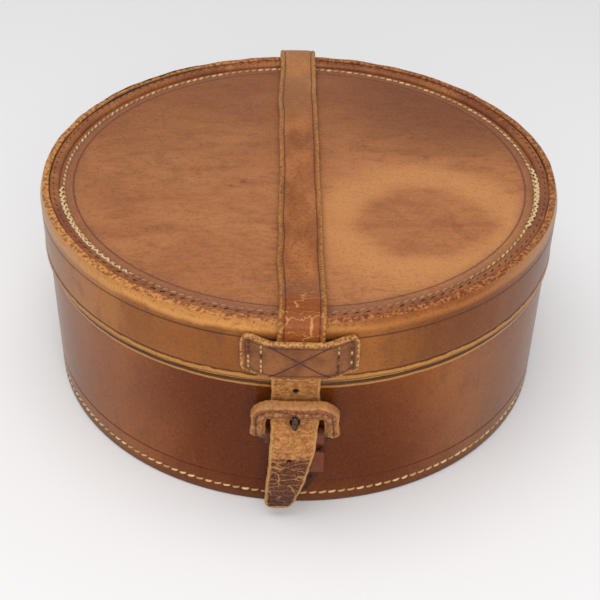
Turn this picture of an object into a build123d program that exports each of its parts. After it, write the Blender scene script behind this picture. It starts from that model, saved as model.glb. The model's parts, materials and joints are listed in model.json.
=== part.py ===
from build123d import *
import os
from math import asin, atan2, cos, degrees, hypot, pi, sin

# Round leather collar box with a strapped lid. Millimetres, +Z up, the buckle at the front (-Y).
# The origin is the centre of the underside.

# Overall sizes
lid_radius = 99.5
box_height = 83.0
seam_height = 57.4
seam_gap = 0.3

# Leather, board and lining thicknesses
wall_leather = 3.4
floor_leather = 2.4
top_leather = 2.2
wall_board = 1.6
flat_board = 1.6
lining = 0.7
neck_board = 1.8
glue_gap = 0.05

# Neck that the lid slides over
neck_rise = 9.0
neck_clearance = 0.45

# Lid top
top_sink = 2.6
shoulder_radius = 1.8
seam_edge_radius = 0.9
foot_edge_radius = 0.8
welt_width = 3.8
welt_rise = 2.0
welt_edge_radius = 0.8

# Tooled lines
line_width = 0.9
line_depth = 0.3
lid_line_height = 75.9
base_line_height = 10.5
top_circle_inset = 12.5

# Thread and stitches
thread = 0.9
thread_groove = 0.5
thread_room = 0.2
foot_stitch_height = 4.6
foot_stitch_length = 5.0
foot_stitch_pitch = 6.5
rim_stitch_inset = 8.9
rim_stitch_length = 4.6
rim_stitch_pitch = 6.0
shoulder_stitch_inset = 2.3
shoulder_stitch_length = 2.2
shoulder_stitch_pitch = 4.4
loop_stitch_length = 2.4
loop_stitch_pitch = 3.4

# Strap
strap_width = 16.0
strap_leather = 2.8
strap_bend_radius = 20.0
strap_small_bend = 2.5
strap_hole_radius = 1.4
strap_hole_pitch = 13.5
first_hole_below_loop = 6.6
rear_strap_foot = 20.0
rear_strap_step = 8.0
tail_foot_height = 5.5
tail_end_width = 11.5
tail_lean = 4.3
tail_straight_height = 21.0
tail_corner_radius = 2.5
tail_end_lift = 1.5

# Loops that hold the strap on the lid
loop_leather = 2.2
loop_half_width = 19.2
loop_foot_height = 63.2
loop_height = 15.2
loop_side_room = 0.6
loop_face_room = 0.25
inner_column = 11.8
outer_column = 16.2
column_margin = 1.8

# Buckle, chape and keeper
pivot_height = 36.0
bar_radius = 1.3
chape_leather = 1.6
chape_half_width = 10.1
chape_foot_height = 10.0
chape_taper_height = 20.5
chape_tip_half_width = 4.0
chape_join_height = 31.0
running_gap = 0.15
frame_width = 29.5
frame_reach = 19.0
frame_tilt = 14.5
top_bar_height = 6.0
leg_width = 4.6
cover_thickness = 3.8
core_margin = 1.0
cover_start = 2.0
frame_corner_radius = 2.4
prong_radius = 1.05
tip_radius = 0.8
prong_slot_half_width = 2.0
prong_slot_above_pivot = 9.4
prong_slot_below_pivot = 1.6
keeper_foot_height = 21.6
keeper_height = 9.4
keeper_leather = 1.5
keeper_room = 1.5
tail_room = 0.3

# Radii that follow from the stack of layers in the wall
lid_wall_inner = lid_radius - wall_leather
lid_board_outer = lid_wall_inner - glue_gap
lid_board_inner = lid_board_outer - wall_board
lid_lining_outer = lid_board_inner - glue_gap
lid_lining_inner = lid_lining_outer - lining
neck_outer = lid_lining_inner - neck_clearance
neck_inner = neck_outer - neck_board
base_lining_outer = neck_inner - glue_gap
base_lining_inner = base_lining_outer - lining
base_board_inner = neck_outer + glue_gap
base_board_outer = base_board_inner + wall_board
base_wall_inner = base_board_outer + glue_gap
base_radius = base_wall_inner + wall_leather

# Heights that follow from the stack of layers in the floor and the lid top
floor_board_top = floor_leather + flat_board
floor_lining_top = floor_board_top + lining
neck_top = seam_height + neck_rise
lid_foot = seam_height + seam_gap
top_field = box_height - top_sink
top_leather_foot = top_field - top_leather
top_board_foot = top_leather_foot - flat_board
top_lining_foot = top_board_foot - lining

# Circles on the lid top
top_circle_radius = lid_radius - top_circle_inset
rim_stitch_radius = lid_radius - rim_stitch_inset

# Places along the strap
strap_inner = lid_radius + glue_gap
strap_outer = strap_inner + strap_leather
tunnel_radius = hypot(strap_width / 2, strap_outer) + loop_face_room
tunnel_half_width = strap_width / 2 + loop_side_room
loop_top_height = loop_foot_height + loop_height
hinge_height = seam_height + seam_gap / 2
first_hole_height = loop_foot_height - first_hole_below_loop
second_hole_height = first_hole_height - strap_hole_pitch
third_hole_height = second_hole_height - strap_hole_pitch

# Places round the buckle's pivot bar
wrap_inner = bar_radius + running_gap
wrap_outer = wrap_inner + chape_leather
pivot_depth = base_radius + glue_gap + wrap_outer
eye_half_width = prong_radius + running_gap
chape_back_face = base_radius + glue_gap
chape_front_foot = chape_back_face + chape_leather + glue_gap
chape_front_face = chape_front_foot + chape_leather
keeper_outer = chape_front_face + glue_gap + keeper_room + keeper_leather
tail_inner = max(keeper_outer, pivot_depth + wrap_outer) + tail_room


def disc(radius, low, high):
    """Upright solid disc."""
    return Pos(0, 0, low) * Cylinder(radius, high - low, align=(Align.CENTER, Align.CENTER, Align.MIN))


def ring(outer, inner, low, high):
    """Upright tube between two radii."""
    return disc(outer, low, high) - disc(inner, low, high)


def slab(half_width, side, low, high):
    """Upright block across one side of the box: side -1 is the front, +1 the rear."""
    depth = lid_radius
    block = Box(2 * half_width, depth, high - low, align=(Align.CENTER, Align.CENTER, Align.MIN))
    return Pos(0, side * lid_radius, low) * block


def wall_groove(radius, height, width, depth):
    """Ring to cut from a wall, from its outer face inwards."""
    return ring(radius + depth, radius - depth, height - width / 2, height + width / 2)


def circle_count(radius, pitch):
    """How many stitches of this pitch go round a circle."""
    return round(2 * pi * radius / pitch)


def circle_of_stitches(radius, height, length, depth, width, pitch):
    """Separate stitches round a circle: depth is radial, length is along the circle."""
    count = circle_count(radius, pitch)
    one = Box(depth, length, width)
    return [Rot(0, 0, 360 * n / count) * Pos(radius, 0, height) * one for n in range(count)]


def edge_at(part, radius, height):
    """The circular edges of a turned part at one radius and height."""
    found = [e for e in part.edges().filter_by(GeomType.CIRCLE) if abs(e.radius - radius) < 0.001]
    return [e for e in found if abs(e.center().Z - height) < 0.001]


def rounded_face(points, radii):
    """Flat outline with each corner rounded by its own radius, or left sharp at 0."""
    face = make_face(Polyline(*points, close=True).edges()).face()
    for (across, up), radius in zip(points, radii):
        if radius:
            corner = min(face.vertices(), key=lambda v: hypot(v.X - across, v.Y - up))
            face = face.fillet_2d(radius, [corner])
    return face


def moved_left(points, leather):
    """A line of points moved to its left by the leather's thickness, with mitred corners."""
    headings = [atan2(b[1] - a[1], b[0] - a[0]) for a, b in zip(points, points[1:])]
    moved = []
    for (y, z), before, after in zip(points, headings[:1] + headings, headings + headings[-1:]):
        middle = (before + after) / 2
        reach = leather / cos((after - before) / 2)
        moved.append((y - reach * sin(middle), z + reach * cos(middle)))
    return moved


def band(points, bends, leather, half_width):
    """Strap whose inner face follows (y, z) points, with its leather on their left.

    Each bend is the radius of the tighter face at that inner point of the line.
    """
    headings = [atan2(b[1] - a[1], b[0] - a[0]) for a, b in zip(points, points[1:])]
    right_turns = [after < before for before, after in zip(headings, headings[1:])]
    inner = [bend if right else bend + leather for bend, right in zip(bends, right_turns)]
    outer = [bend + leather if right else bend for bend, right in zip(bends, right_turns)]
    outline = points + moved_left(points, leather)[::-1]
    face = rounded_face(outline, [0, *inner, 0, 0, *outer[::-1], 0])
    return extrude(Plane.YZ * face, amount=half_width, dir=(1, 0, 0), both=True)


def base_floor_leather():
    """Leather disc that the box stands on."""
    return disc(base_wall_inner - glue_gap, 0, floor_leather)


def base_floor_board():
    return disc(base_board_outer, floor_leather, floor_board_top)


def base_floor_lining():
    return disc(neck_inner - glue_gap, floor_board_top, floor_lining_top)


def base_wall_leather():
    """Side wall of the base with its tooled line, the thread groove at the foot and a worn top edge."""
    wall = ring(base_radius, base_wall_inner, 0, seam_height)
    wall = fillet(edge_at(wall, base_radius, seam_height), seam_edge_radius)
    wall = fillet(edge_at(wall, base_radius, 0), foot_edge_radius)
    wall -= wall_groove(base_radius, base_line_height, line_width, line_depth)
    return wall - wall_groove(base_radius, foot_stitch_height, thread + 2 * thread_room, thread_groove)


def base_wall_board():
    return ring(base_board_outer, base_board_inner, floor_board_top, seam_height)


def neck_ring():
    """Board ring inside the base that stands above the seam and guides the lid."""
    return ring(neck_outer, neck_inner, floor_board_top, neck_top)


def base_wall_lining():
    return ring(base_lining_outer, base_lining_inner, floor_lining_top, neck_top)


def base_foot_stitching():
    centre = base_radius - thread_groove + thread / 2
    return circle_of_stitches(centre, foot_stitch_height, foot_stitch_length, thread, thread, foot_stitch_pitch)


def lid_wall_leather():
    """Side wall of the lid: its top edge is the raised lip round the top."""
    wall = ring(lid_radius, lid_wall_inner, lid_foot, box_height)
    wall = fillet(edge_at(wall, lid_radius, box_height), shoulder_radius)
    wall = fillet(edge_at(wall, lid_radius, lid_foot), seam_edge_radius)
    return wall - wall_groove(lid_radius, lid_line_height, line_width, line_depth)


def lid_wall_board():
    return ring(lid_board_outer, lid_board_inner, lid_foot, top_leather_foot)


def lid_wall_lining():
    return ring(lid_lining_outer, lid_lining_inner, lid_foot, top_board_foot)


def lid_top_leather():
    """Top disc, sunk below the lip, with its tooled circle and the groove for the thread."""
    top = disc(lid_board_outer, top_leather_foot, top_field)
    half = line_width / 2
    top -= ring(top_circle_radius + half, top_circle_radius - half, top_field - line_depth, top_field)
    room = thread / 2 + thread_room
    groove_foot = top_field - thread_groove
    return top - ring(rim_stitch_radius + room, rim_stitch_radius - room, groove_foot, top_field)


def lid_top_board():
    return disc(lid_board_inner - glue_gap, top_board_foot, top_leather_foot)


def lid_top_lining():
    return disc(lid_lining_inner - glue_gap, top_lining_foot, top_board_foot)


def rim_inner_stitching():
    centre = top_field - thread_groove + thread / 2
    return circle_of_stitches(rim_stitch_radius, centre, rim_stitch_length, thread, thread, rim_stitch_pitch)


def rim_welt():
    """Rounded leather welt that fills the corner between the top disc and the lip."""
    inner = lid_board_outer - welt_width
    top = top_field + welt_rise
    welt = ring(lid_board_outer, inner, top_field, top)
    welt = fillet(edge_at(welt, inner, top), welt_edge_radius)
    row = shoulder_stitch_radius()
    room = thread / 2 + thread_room
    return welt - ring(row + room, row - room, top - thread_groove, top)


def shoulder_stitch_radius():
    return lid_board_outer - shoulder_stitch_inset + thread / 2


def rim_outer_stitching():
    """Dark stitches sunk in the welt beside the lip."""
    centre = top_field + welt_rise - thread_groove + thread / 2
    radius = shoulder_stitch_radius()
    return circle_of_stitches(radius, centre, shoulder_stitch_length, thread, thread, shoulder_stitch_pitch)


def column_angles():
    """Angles from the strap's centre line to the four rows of stitches in a loop."""
    face = strap_inner + loop_leather
    return [degrees(asin(x / face)) for x in (-outer_column, -inner_column, inner_column, outer_column)]


def strap_loop(side):
    """Leather loop on the lid wall: two sewn flanges and a bridge over the strap."""
    low, high = loop_foot_height, loop_top_height
    flange_face = strap_inner + loop_leather
    bridge_face = tunnel_radius + loop_leather
    flange = ring(flange_face, strap_inner, low, high) & slab(loop_half_width, side, low, high)
    bridge = ring(bridge_face, strap_inner, low, high)
    bridge &= slab(tunnel_half_width + loop_leather / 2, side, low, high)
    tunnel = disc(tunnel_radius, low, high) & slab(tunnel_half_width, side, low, high)
    loop = flange + bridge - tunnel
    slot = Box(2 * thread_groove, thread + 2 * thread_room, loop_height - column_margin)
    middle = (low + high) / 2
    for angle in column_angles():
        loop -= Rot(0, 0, side * 90 + angle) * Pos(flange_face, 0, middle) * slot
    return loop


def strap_loop_stitching(side):
    """Four upright rows of stitches, sunk in the flanges of a loop."""
    flange_face = strap_inner + loop_leather
    centre = flange_face - thread_groove + thread / 2
    middle = (loop_foot_height + loop_top_height) / 2
    count = int((loop_height - 2 * column_margin - loop_stitch_length) / loop_stitch_pitch) + 1
    one = Box(thread, thread, loop_stitch_length)
    stitches = []
    for angle in column_angles():
        for n in range(count):
            height = middle + (n - (count - 1) / 2) * loop_stitch_pitch
            stitches.append(Rot(0, 0, side * 90 + angle) * Pos(centre, 0, height) * one)
    return stitches


def strap_over_lid():
    """Strap from the hinge line at the rear, over the top, down to the front loop's foot."""
    rest = top_field + glue_gap
    rim = box_height + glue_gap
    ledge = lid_board_outer - welt_width - top_sink
    floor_start = ledge - 5 * top_sink
    points = [
        (-strap_inner, loop_foot_height + glue_gap),
        (-strap_inner, rim),
        (-ledge, rim),
        (-floor_start, rest),
        (floor_start, rest),
        (ledge, rim),
        (strap_inner, rim),
        (strap_inner, hinge_height + glue_gap),
    ]
    corner = shoulder_radius + glue_gap
    gentle = strap_bend_radius
    bends = [corner, gentle, gentle, gentle, gentle, corner]
    return band(points, bends, strap_leather, strap_width / 2)


def strap_rear():
    """Fixed end of the strap, from the hinge line down the base's rear wall."""
    contact = base_radius + glue_gap
    points = [
        (strap_inner, hinge_height - glue_gap),
        (strap_inner, seam_height - seam_edge_radius),
        (contact, seam_height - rear_strap_step),
        (contact, rear_strap_foot),
    ]
    strap = band(points, [strap_small_bend] * 2, strap_leather, strap_width / 2)
    for x, z in rear_anchor_places():
        strap -= Pos(x, contact + strap_leather, z) * rear_slot()
    return strap


def rear_slot():
    return Box(thread + 2 * thread_room, 2 * thread_groove, loop_stitch_length + 2 * thread_room)


def rear_anchor_places():
    """Two rows of stitches near the edges of the strap's fixed end."""
    edge = strap_width / 2 - 2 * thread
    low = rear_strap_foot + 2 * thread + loop_stitch_length / 2
    high = seam_height - 2 * rear_strap_step
    count = int((high - low) / loop_stitch_pitch)
    return [(x, low + n * loop_stitch_pitch) for x in (-edge, edge) for n in range(count)]


def rear_anchor_stitching():
    depth = base_radius + glue_gap + strap_leather - thread_groove + thread / 2
    one = Box(thread, thread, loop_stitch_length)
    return [Pos(x, depth, z) * one for x, z in rear_anchor_places()]


def tail_outline():
    """Front view of the tail: straight to the keeper, then narrowing and leaning to one side."""
    half = strap_width / 2
    end_half = tail_end_width / 2
    points = [
        (half, loop_foot_height),
        (-half, loop_foot_height),
        (-half, tail_straight_height),
        (-tail_lean - end_half, tail_foot_height),
        (-tail_lean + end_half, tail_foot_height),
        (half, tail_straight_height),
    ]
    face = rounded_face(points, [0, 0, 0, tail_corner_radius, tail_corner_radius, 0])
    return extrude(Plane.XZ * face, amount=tail_inner + 2 * strap_leather)


def tail_line():
    """Inner face of the tail: down the wall, out over the pivot bar and down past the keeper."""
    turn = pivot_height + top_bar_height * 2
    points = [
        (-strap_inner, loop_foot_height - glue_gap),
        (-strap_inner, turn),
        (-tail_inner, pivot_height + bar_radius + running_gap),
        (-tail_inner, tail_straight_height),
        (-tail_inner + tail_end_lift, tail_foot_height),
    ]
    return points[::-1]


def strap_tail():
    """Free end of the strap, threaded through the buckle.

    It has a hole above and one below the buckle, and a worn slot that the prong swings out of.
    """
    tail = band(tail_line(), [strap_small_bend] * 3, strap_leather, strap_width) & tail_outline()
    hole = Rot(90, 0, 0) * Cylinder(strap_hole_radius, 2 * tail_inner)
    tail -= Pos(0, -tail_inner, first_hole_height) * hole
    tail -= Pos(0, -tail_inner, third_hole_height) * hole
    low, high = pivot_height - prong_slot_below_pivot, pivot_height + prong_slot_above_pivot
    slot = Box(2 * prong_slot_half_width, 4 * strap_leather, high - low)
    return tail - Pos(0, -tail_inner, (low + high) / 2) * slot


def at_buckle(part):
    """Turns a part drawn upright round the pivot bar to the buckle's place and lean."""
    return Pos(0, -pivot_depth, pivot_height) * Rot(frame_tilt, 0, 0) * part


def frame_outline(width, low, high, corner):
    """Upright rectangle in the XZ plane with rounded top corners."""
    sketch = Pos(0, (low + high) / 2) * Rectangle(width, high - low)
    top = sketch.vertices().filter_by(lambda v: abs(v.Y - high) < 0.001)
    return Plane.XZ * fillet(top, corner)


def bow_window(width, top):
    """Block to cut from a bow, for the opening between its legs."""
    return Pos(0, 0, top - frame_reach) * Box(width, 2 * cover_thickness, 2 * frame_reach)


def buckle_frame():
    """Steel frame: a round pivot bar and a flat three-sided bow, sealed in leather above the bar."""
    half_thick = cover_thickness / 2 - core_margin
    leg = leg_width - 2 * core_margin
    outer_width = frame_width - 2 * core_margin
    reach = frame_reach - core_margin
    bow = extrude(frame_outline(outer_width, -bar_radius, reach, frame_corner_radius / 2), half_thick, both=True)
    window_top = frame_reach - top_bar_height + core_margin
    bow -= bow_window(outer_width - 2 * leg, window_top)
    bar = Rot(0, 90, 0) * Cylinder(bar_radius, outer_width - leg)
    return at_buckle(bow + bar)


def buckle_core_room():
    """The bow of the steel frame with the glue gap round it, above the cover's start."""
    half_thick = cover_thickness / 2 - core_margin + glue_gap
    leg = leg_width - 2 * core_margin
    outer_width = frame_width - 2 * core_margin
    reach = frame_reach - core_margin + glue_gap
    low = -bar_radius - glue_gap
    outline = frame_outline(outer_width + 2 * glue_gap, low, reach, frame_corner_radius / 2)
    bow = extrude(outline, half_thick, both=True)
    window_top = frame_reach - top_bar_height + core_margin - glue_gap
    inner = outer_width - 2 * leg - 2 * glue_gap
    return bow - bow_window(inner, window_top)


def buckle_cover():
    """Leather sewn round the bow of the frame."""
    outline = frame_outline(frame_width, cover_start, frame_reach, frame_corner_radius)
    cover = extrude(outline, cover_thickness / 2, both=True)
    window_top = frame_reach - top_bar_height
    inner = frame_width - 2 * leg_width
    cover -= bow_window(inner, window_top)
    return at_buckle(cover - buckle_core_room())


def prong_line():
    """Angle and length of the prong from the pivot bar to its tip on the top bar's outer face."""
    lift = cover_thickness / 2 + prong_radius + running_gap
    reach = frame_reach - top_bar_height / 2
    return degrees(atan2(lift, reach - top_bar_height / 2)), hypot(lift, reach)


def buckle_prong():
    """Steel prong with an eye that turns on the pivot bar."""
    angle, length = prong_line()
    eye_outer = bar_radius + running_gap + prong_radius
    eye = Rot(0, 90, 0) * Cylinder(eye_outer, 2 * eye_half_width)
    shaft = Cylinder(prong_radius, length, align=(Align.CENTER, Align.CENTER, Align.MIN))
    shaft = fillet(shaft.edges().filter_by(GeomType.CIRCLE).sort_by(Axis.Z)[-1], tip_radius)
    bore = Rot(0, 90, 0) * Cylinder(bar_radius + running_gap, 4 * eye_half_width)
    return at_buckle(Rot(angle, 0, 0) * (eye + shaft) - bore)


def chape_outline():
    """Front view of the chape, tapering to its foot, with the slot that the prong turns in."""
    top = pivot_height + wrap_outer
    points = [
        (chape_half_width, top),
        (-chape_half_width, top),
        (-chape_half_width, chape_taper_height),
        (-chape_tip_half_width, chape_foot_height),
        (chape_tip_half_width, chape_foot_height),
        (chape_half_width, chape_taper_height),
    ]
    face = make_face(Polyline(*points, close=True).edges())
    outline = extrude(Plane.XZ * face, amount=pivot_depth + 2 * wrap_outer)
    slot_half = eye_half_width + running_gap
    slot_low = pivot_height - wrap_outer - running_gap
    slot = Box(2 * slot_half, 4 * wrap_outer, 3 * wrap_outer, align=(Align.CENTER, Align.CENTER, Align.MIN))
    return outline - Pos(0, -pivot_depth, slot_low) * slot


def chape_layer(points):
    """Layer of the chape: a closed (y, z) outline carried across its width."""
    face = Plane.YZ * make_face(Polyline(*points, close=True).edges())
    return extrude(face, amount=chape_half_width, dir=(1, 0, 0), both=True)


def chape_strap():
    """Leather tab sewn to the front wall: up, round the pivot bar and down over itself."""
    across = Pos(0, -pivot_depth, pivot_height) * Rot(0, 90, 0)
    wrap = across * Cylinder(wrap_outer, 2 * chape_half_width)
    back = chape_layer([
        (-chape_back_face, chape_foot_height),
        (-chape_back_face, pivot_height),
        (-chape_back_face - chape_leather, pivot_height),
        (-chape_back_face - chape_leather, chape_foot_height),
    ])
    fold = chape_layer([
        (-pivot_depth - wrap_inner, pivot_height),
        (-pivot_depth - wrap_outer, pivot_height),
        (-chape_front_face, chape_join_height),
        (-chape_front_face, chape_foot_height),
        (-chape_front_foot, chape_foot_height),
        (-chape_front_foot, chape_join_height),
    ])
    chape = wrap + back + fold
    return (chape - across * Cylinder(wrap_inner, 3 * chape_half_width)) & chape_outline()


def chape_stitch_places():
    """Stitches down the tapering edges of the chape, below the keeper."""
    inset = 2 * thread
    span = chape_taper_height - chape_foot_height
    slope = (chape_half_width - chape_tip_half_width) / span
    places = []
    for n in range(2):
        height = chape_foot_height + inset + n * loop_stitch_pitch + loop_stitch_length / 2
        across = chape_tip_half_width + slope * (height - chape_foot_height) - inset
        places += [(-across, height), (across, height)]
    return places


def chape_stitching():
    """Stitches that lie on the chape's face."""
    one = Box(thread, thread, loop_stitch_length)
    return [Pos(x, -chape_front_face - thread / 2, z) * one for x, z in chape_stitch_places()]


def keeper_loop():
    """Flat leather loop that stands on the chape, left empty behind the tail."""
    foot = chape_front_face
    outer = keeper_outer
    middle = keeper_foot_height + keeper_height / 2
    block = Pos(0, -(foot + outer) / 2, middle) * Box(2 * chape_half_width, outer - foot, keeper_height)
    room_outer = outer - keeper_leather
    inner_half = chape_half_width - keeper_leather
    room = Pos(0, -(foot + room_outer) / 2, middle) * Box(2 * inner_half, room_outer - foot, keeper_height)
    return block - room


front, rear = -1, 1
pieces = {
    "base_floor_leather": base_floor_leather(),
    "base_floor_board": base_floor_board(),
    "base_floor_lining": base_floor_lining(),
    "base_wall_leather": base_wall_leather(),
    "base_wall_board": base_wall_board(),
    "base_wall_lining": base_wall_lining(),
    "neck_ring": neck_ring(),
    "base_foot_stitching": base_foot_stitching(),
    "chape_strap": chape_strap(),
    "chape_stitching": chape_stitching(),
    "keeper_loop": keeper_loop(),
    "strap_rear": strap_rear(),
    "rear_anchor_stitching": rear_anchor_stitching(),
    "lid_top_leather": lid_top_leather(),
    "lid_top_board": lid_top_board(),
    "lid_top_lining": lid_top_lining(),
    "lid_wall_leather": lid_wall_leather(),
    "lid_wall_board": lid_wall_board(),
    "lid_wall_lining": lid_wall_lining(),
    "rim_welt": rim_welt(),
    "rim_inner_stitching": rim_inner_stitching(),
    "rim_outer_stitching": rim_outer_stitching(),
    "front_loop": strap_loop(front),
    "front_loop_stitching": strap_loop_stitching(front),
    "rear_loop": strap_loop(rear),
    "rear_loop_stitching": strap_loop_stitching(rear),
    "strap_over_lid": strap_over_lid(),
    "strap_tail": strap_tail(),
    "buckle_frame": buckle_frame(),
    "buckle_cover": buckle_cover(),
    "buckle_prong": buckle_prong(),
}

os.makedirs("parts", exist_ok=True)
for name, piece in pieces.items():
    solids = piece if isinstance(piece, list) else piece.solids()
    export_step(Compound(children=[s for one in solids for s in one.solids()]), f"parts/{name}.step")

print("base radius", round(base_radius, 2), "lid radius", lid_radius, "height", box_height)
print("buckle pivot y", round(-pivot_depth, 3), "z", pivot_height)
print("lid hinge y", round(strap_outer, 3), "z", round(hinge_height, 3))
print("tail hinge y", round(-strap_inner - strap_leather / 2, 3), "z", loop_foot_height)
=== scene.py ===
# %% [markdown]
# # A worn leather collar box
# The box is already built at its real size: this lesson dresses it. Each visible piece of leather, thread
# or steel gets a surface worked out with numpy, placed from the sizes of the model, and a finish made of
# nodes. All lengths in the cells are millimetres, and they become metres where a mesh is made.

# %% Load the model that everything is placed from
import json
import bmesh
import bpy
import numpy as np
from mathutils import Matrix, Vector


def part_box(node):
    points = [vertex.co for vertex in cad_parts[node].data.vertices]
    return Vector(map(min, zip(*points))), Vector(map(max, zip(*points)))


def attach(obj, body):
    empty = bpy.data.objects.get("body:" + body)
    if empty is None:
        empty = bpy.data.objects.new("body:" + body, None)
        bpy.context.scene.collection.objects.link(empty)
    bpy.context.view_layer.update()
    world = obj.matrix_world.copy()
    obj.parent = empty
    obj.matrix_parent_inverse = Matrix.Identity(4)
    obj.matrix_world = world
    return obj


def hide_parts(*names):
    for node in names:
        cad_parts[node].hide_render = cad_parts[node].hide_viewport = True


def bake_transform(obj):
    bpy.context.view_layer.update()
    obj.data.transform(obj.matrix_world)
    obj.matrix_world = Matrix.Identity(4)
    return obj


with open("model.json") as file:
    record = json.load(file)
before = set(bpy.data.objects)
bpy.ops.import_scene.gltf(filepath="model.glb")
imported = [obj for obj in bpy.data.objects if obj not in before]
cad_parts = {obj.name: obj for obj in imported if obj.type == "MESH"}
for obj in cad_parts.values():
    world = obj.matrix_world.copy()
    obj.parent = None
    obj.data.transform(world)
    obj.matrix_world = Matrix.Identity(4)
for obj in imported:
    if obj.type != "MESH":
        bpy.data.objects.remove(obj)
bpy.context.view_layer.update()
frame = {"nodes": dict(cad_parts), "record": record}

MM = 0.001

# %% [markdown]
# ## Sizes
# The wall radii, the heights of the layers and the strap's place are read from the boxes of the nodes, so
# that the dressing follows the model. Only what a box can't tell, such as the place of a tooled line or of
# a row of stitches, is written here.


# %% Read the driving sizes
def node_box(node):
    """Lowest and highest corner of a node, in millimetres."""
    low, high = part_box(node)
    return np.array(low) / MM, np.array(high) / MM


lid_low, lid_high = node_box("lid_wall_leather")
base_high = node_box("base_wall_leather")[1]
top_low, top_high = node_box("lid_top_leather")
welt_low, welt_high = node_box("rim_welt")
loop_low, loop_high = node_box("front_loop")
strap_high = node_box("strap_over_lid")[1]
rear_foot, tail_foot = node_box("strap_rear")[0][2], node_box("strap_tail")[0][2]
lid_radius, lid_foot, lip_height = lid_high[0], lid_low[2], lid_high[2]
base_radius, seam_height = base_high[0], base_high[2]
top_radius, field = top_high[0], top_high[2]
wall_leather = lid_radius - top_radius
seat_gap = 0.05
strap_half, strap_outer = strap_high[0], strap_high[1]
strap_leather = strap_high[2] - lip_height - seat_gap
strap_inner = strap_outer - strap_leather
lid_line_height, base_line_height, top_circle_radius, shoulder_height = 75.9, 10.5, 87.0, 79.4
foot_stitch_height, rim_stitch_radius, welt_stitch_radius = 4.6, 90.6, 94.35
welt_width, welt_ridges = 3.8, 300
print("lid radius", lid_radius, "base radius", base_radius, "seam", seam_height, "top field", field)

# %% [markdown]
# ## Surfaces from grids
# A turned wall, a strap and a stitch are all the same idea: a section carried along a line. The points
# form a grid, neighbours in the grid make four-sided faces, and a ring of points closes each end. One
# helper makes the faces, and another puts points and faces into a mesh and turns it the right way out.


# %% Grid faces and meshes
def grid_faces(rows, columns, wrap_rows=False, wrap_columns=False):
    """Faces between neighbours in a grid whose points are numbered row by row."""
    row = np.arange(rows if wrap_rows else rows - 1)[:, None]
    column = np.arange(columns if wrap_columns else columns - 1)[None, :]
    next_row, next_column = (row + 1) % rows, (column + 1) % columns
    corners = [row * columns + column, row * columns + next_column,
               next_row * columns + next_column, next_row * columns + column]
    return np.stack(corners, -1).reshape(-1, 4)


def end_faces(rows, columns):
    """The first and the last row of a grid as faces that close a tube."""
    ring = np.arange(columns)[None, :]
    return [ring[:, ::-1], ring + (rows - 1) * columns]


def signed_volume(points, blocks):
    """Volume inside the faces: a sixth of the triple products of their triangles, below 0 if inside out."""
    total = 0.0
    for block in blocks:
        for corner in range(1, block.shape[1] - 1):
            crossed = np.cross(points[block[:, corner]], points[block[:, corner + 1]])
            total += np.einsum("ij,ij->", points[block[:, 0]], crossed)
    return total / 6


def add_mesh(name, points, blocks, marks=None):
    """Object from points in millimetres, blocks of faces, and values kept at each point."""
    points = np.asarray(points, float).reshape(-1, 3)
    if signed_volume(points, blocks) < 0:
        blocks = [block[:, ::-1] for block in blocks]
    mesh = bpy.data.meshes.new(name)
    mesh.vertices.add(len(points))
    mesh.vertices.foreach_set("co", (points * MM).ravel())
    corners = np.concatenate([block.ravel() for block in blocks])
    sizes = np.concatenate([np.full(len(block), block.shape[1]) for block in blocks])
    mesh.loops.add(len(corners))
    mesh.loops.foreach_set("vertex_index", corners)
    mesh.polygons.add(len(sizes))
    mesh.polygons.foreach_set("loop_start", np.cumsum(sizes) - sizes)
    mesh.polygons.foreach_set("use_smooth", np.ones(len(sizes), bool))
    for key, values in (marks or {}).items():
        layer = mesh.attributes.new(key, "FLOAT", "POINT")
        layer.data.foreach_set("value", np.broadcast_to(values, len(points)).astype(float))
    mesh.update(calc_edges=True)
    return linked(bpy.data.objects.new(name, mesh))


def linked(piece):
    bpy.context.scene.collection.objects.link(piece)
    return piece


def dress(piece, material, slot, body, *nodes):
    """A piece's finish, the body that carries it, and the nodes that it stands in for. The slot is not used."""
    piece.data.materials.append(material)
    if nodes:
        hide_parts(*nodes)
    if body:
        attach(piece, body)
    print(piece.name, len(piece.data.polygons), "faces")
    return piece


# %% Lines, wobbles and grooves
def lengths(line):
    """How far each point of a line is from its start, along the line."""
    return np.concatenate([[0], np.cumsum(np.linalg.norm(np.diff(line, axis=0), axis=1))])


def unit(vectors):
    return vectors / np.linalg.norm(vectors, axis=-1, keepdims=True)


def directions(line):
    """Unit vectors along a line, each worked out from the neighbours of its point."""
    return unit(np.gradient(line, axis=0))


def spaced(points, step):
    """Points a step apart along a line, with its own corners kept."""
    points = np.asarray(points, float)
    length = lengths(points)
    even = np.linspace(0, length[-1], max(2, int(length[-1] / step) + 1))
    kept = even[np.abs(even[:, None] - length[None]).min(1) > step / 4]
    at = np.unique(np.concatenate([kept, length]))
    at = at[np.concatenate([[True], np.diff(at) > step / 50])]
    return np.stack([np.interp(at, length, column) for column in points.T], -1)


def rounded_line(points, radii, step):
    """Line whose corners are arcs: each arc is a turn from one tangent point to the other about a centre."""
    points = [np.asarray(point, float) for point in points]
    runs = [points[0][None]]
    for before, corner, after, radius in zip(points, points[1:], points[2:], radii):
        back, ahead = unit(before - corner), unit(after - corner)
        half = np.arccos(np.clip(back @ ahead, -1, 1)) / 2
        turn = np.pi - 2 * half
        centre = corner + unit(back + ahead) * radius / np.sin(half)
        first = corner + back * radius / np.tan(half) - centre
        last = corner + ahead * radius / np.tan(half) - centre
        share = np.linspace(0, 1, max(3, int(radius * turn / step) + 2))[:, None]
        swept = np.sin((1 - share) * turn) * first + np.sin(share * turn) * last
        runs.append(centre + swept / np.sin(turn))
    runs.append(points[-1][None])
    return spaced(np.concatenate(runs), step)


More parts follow.
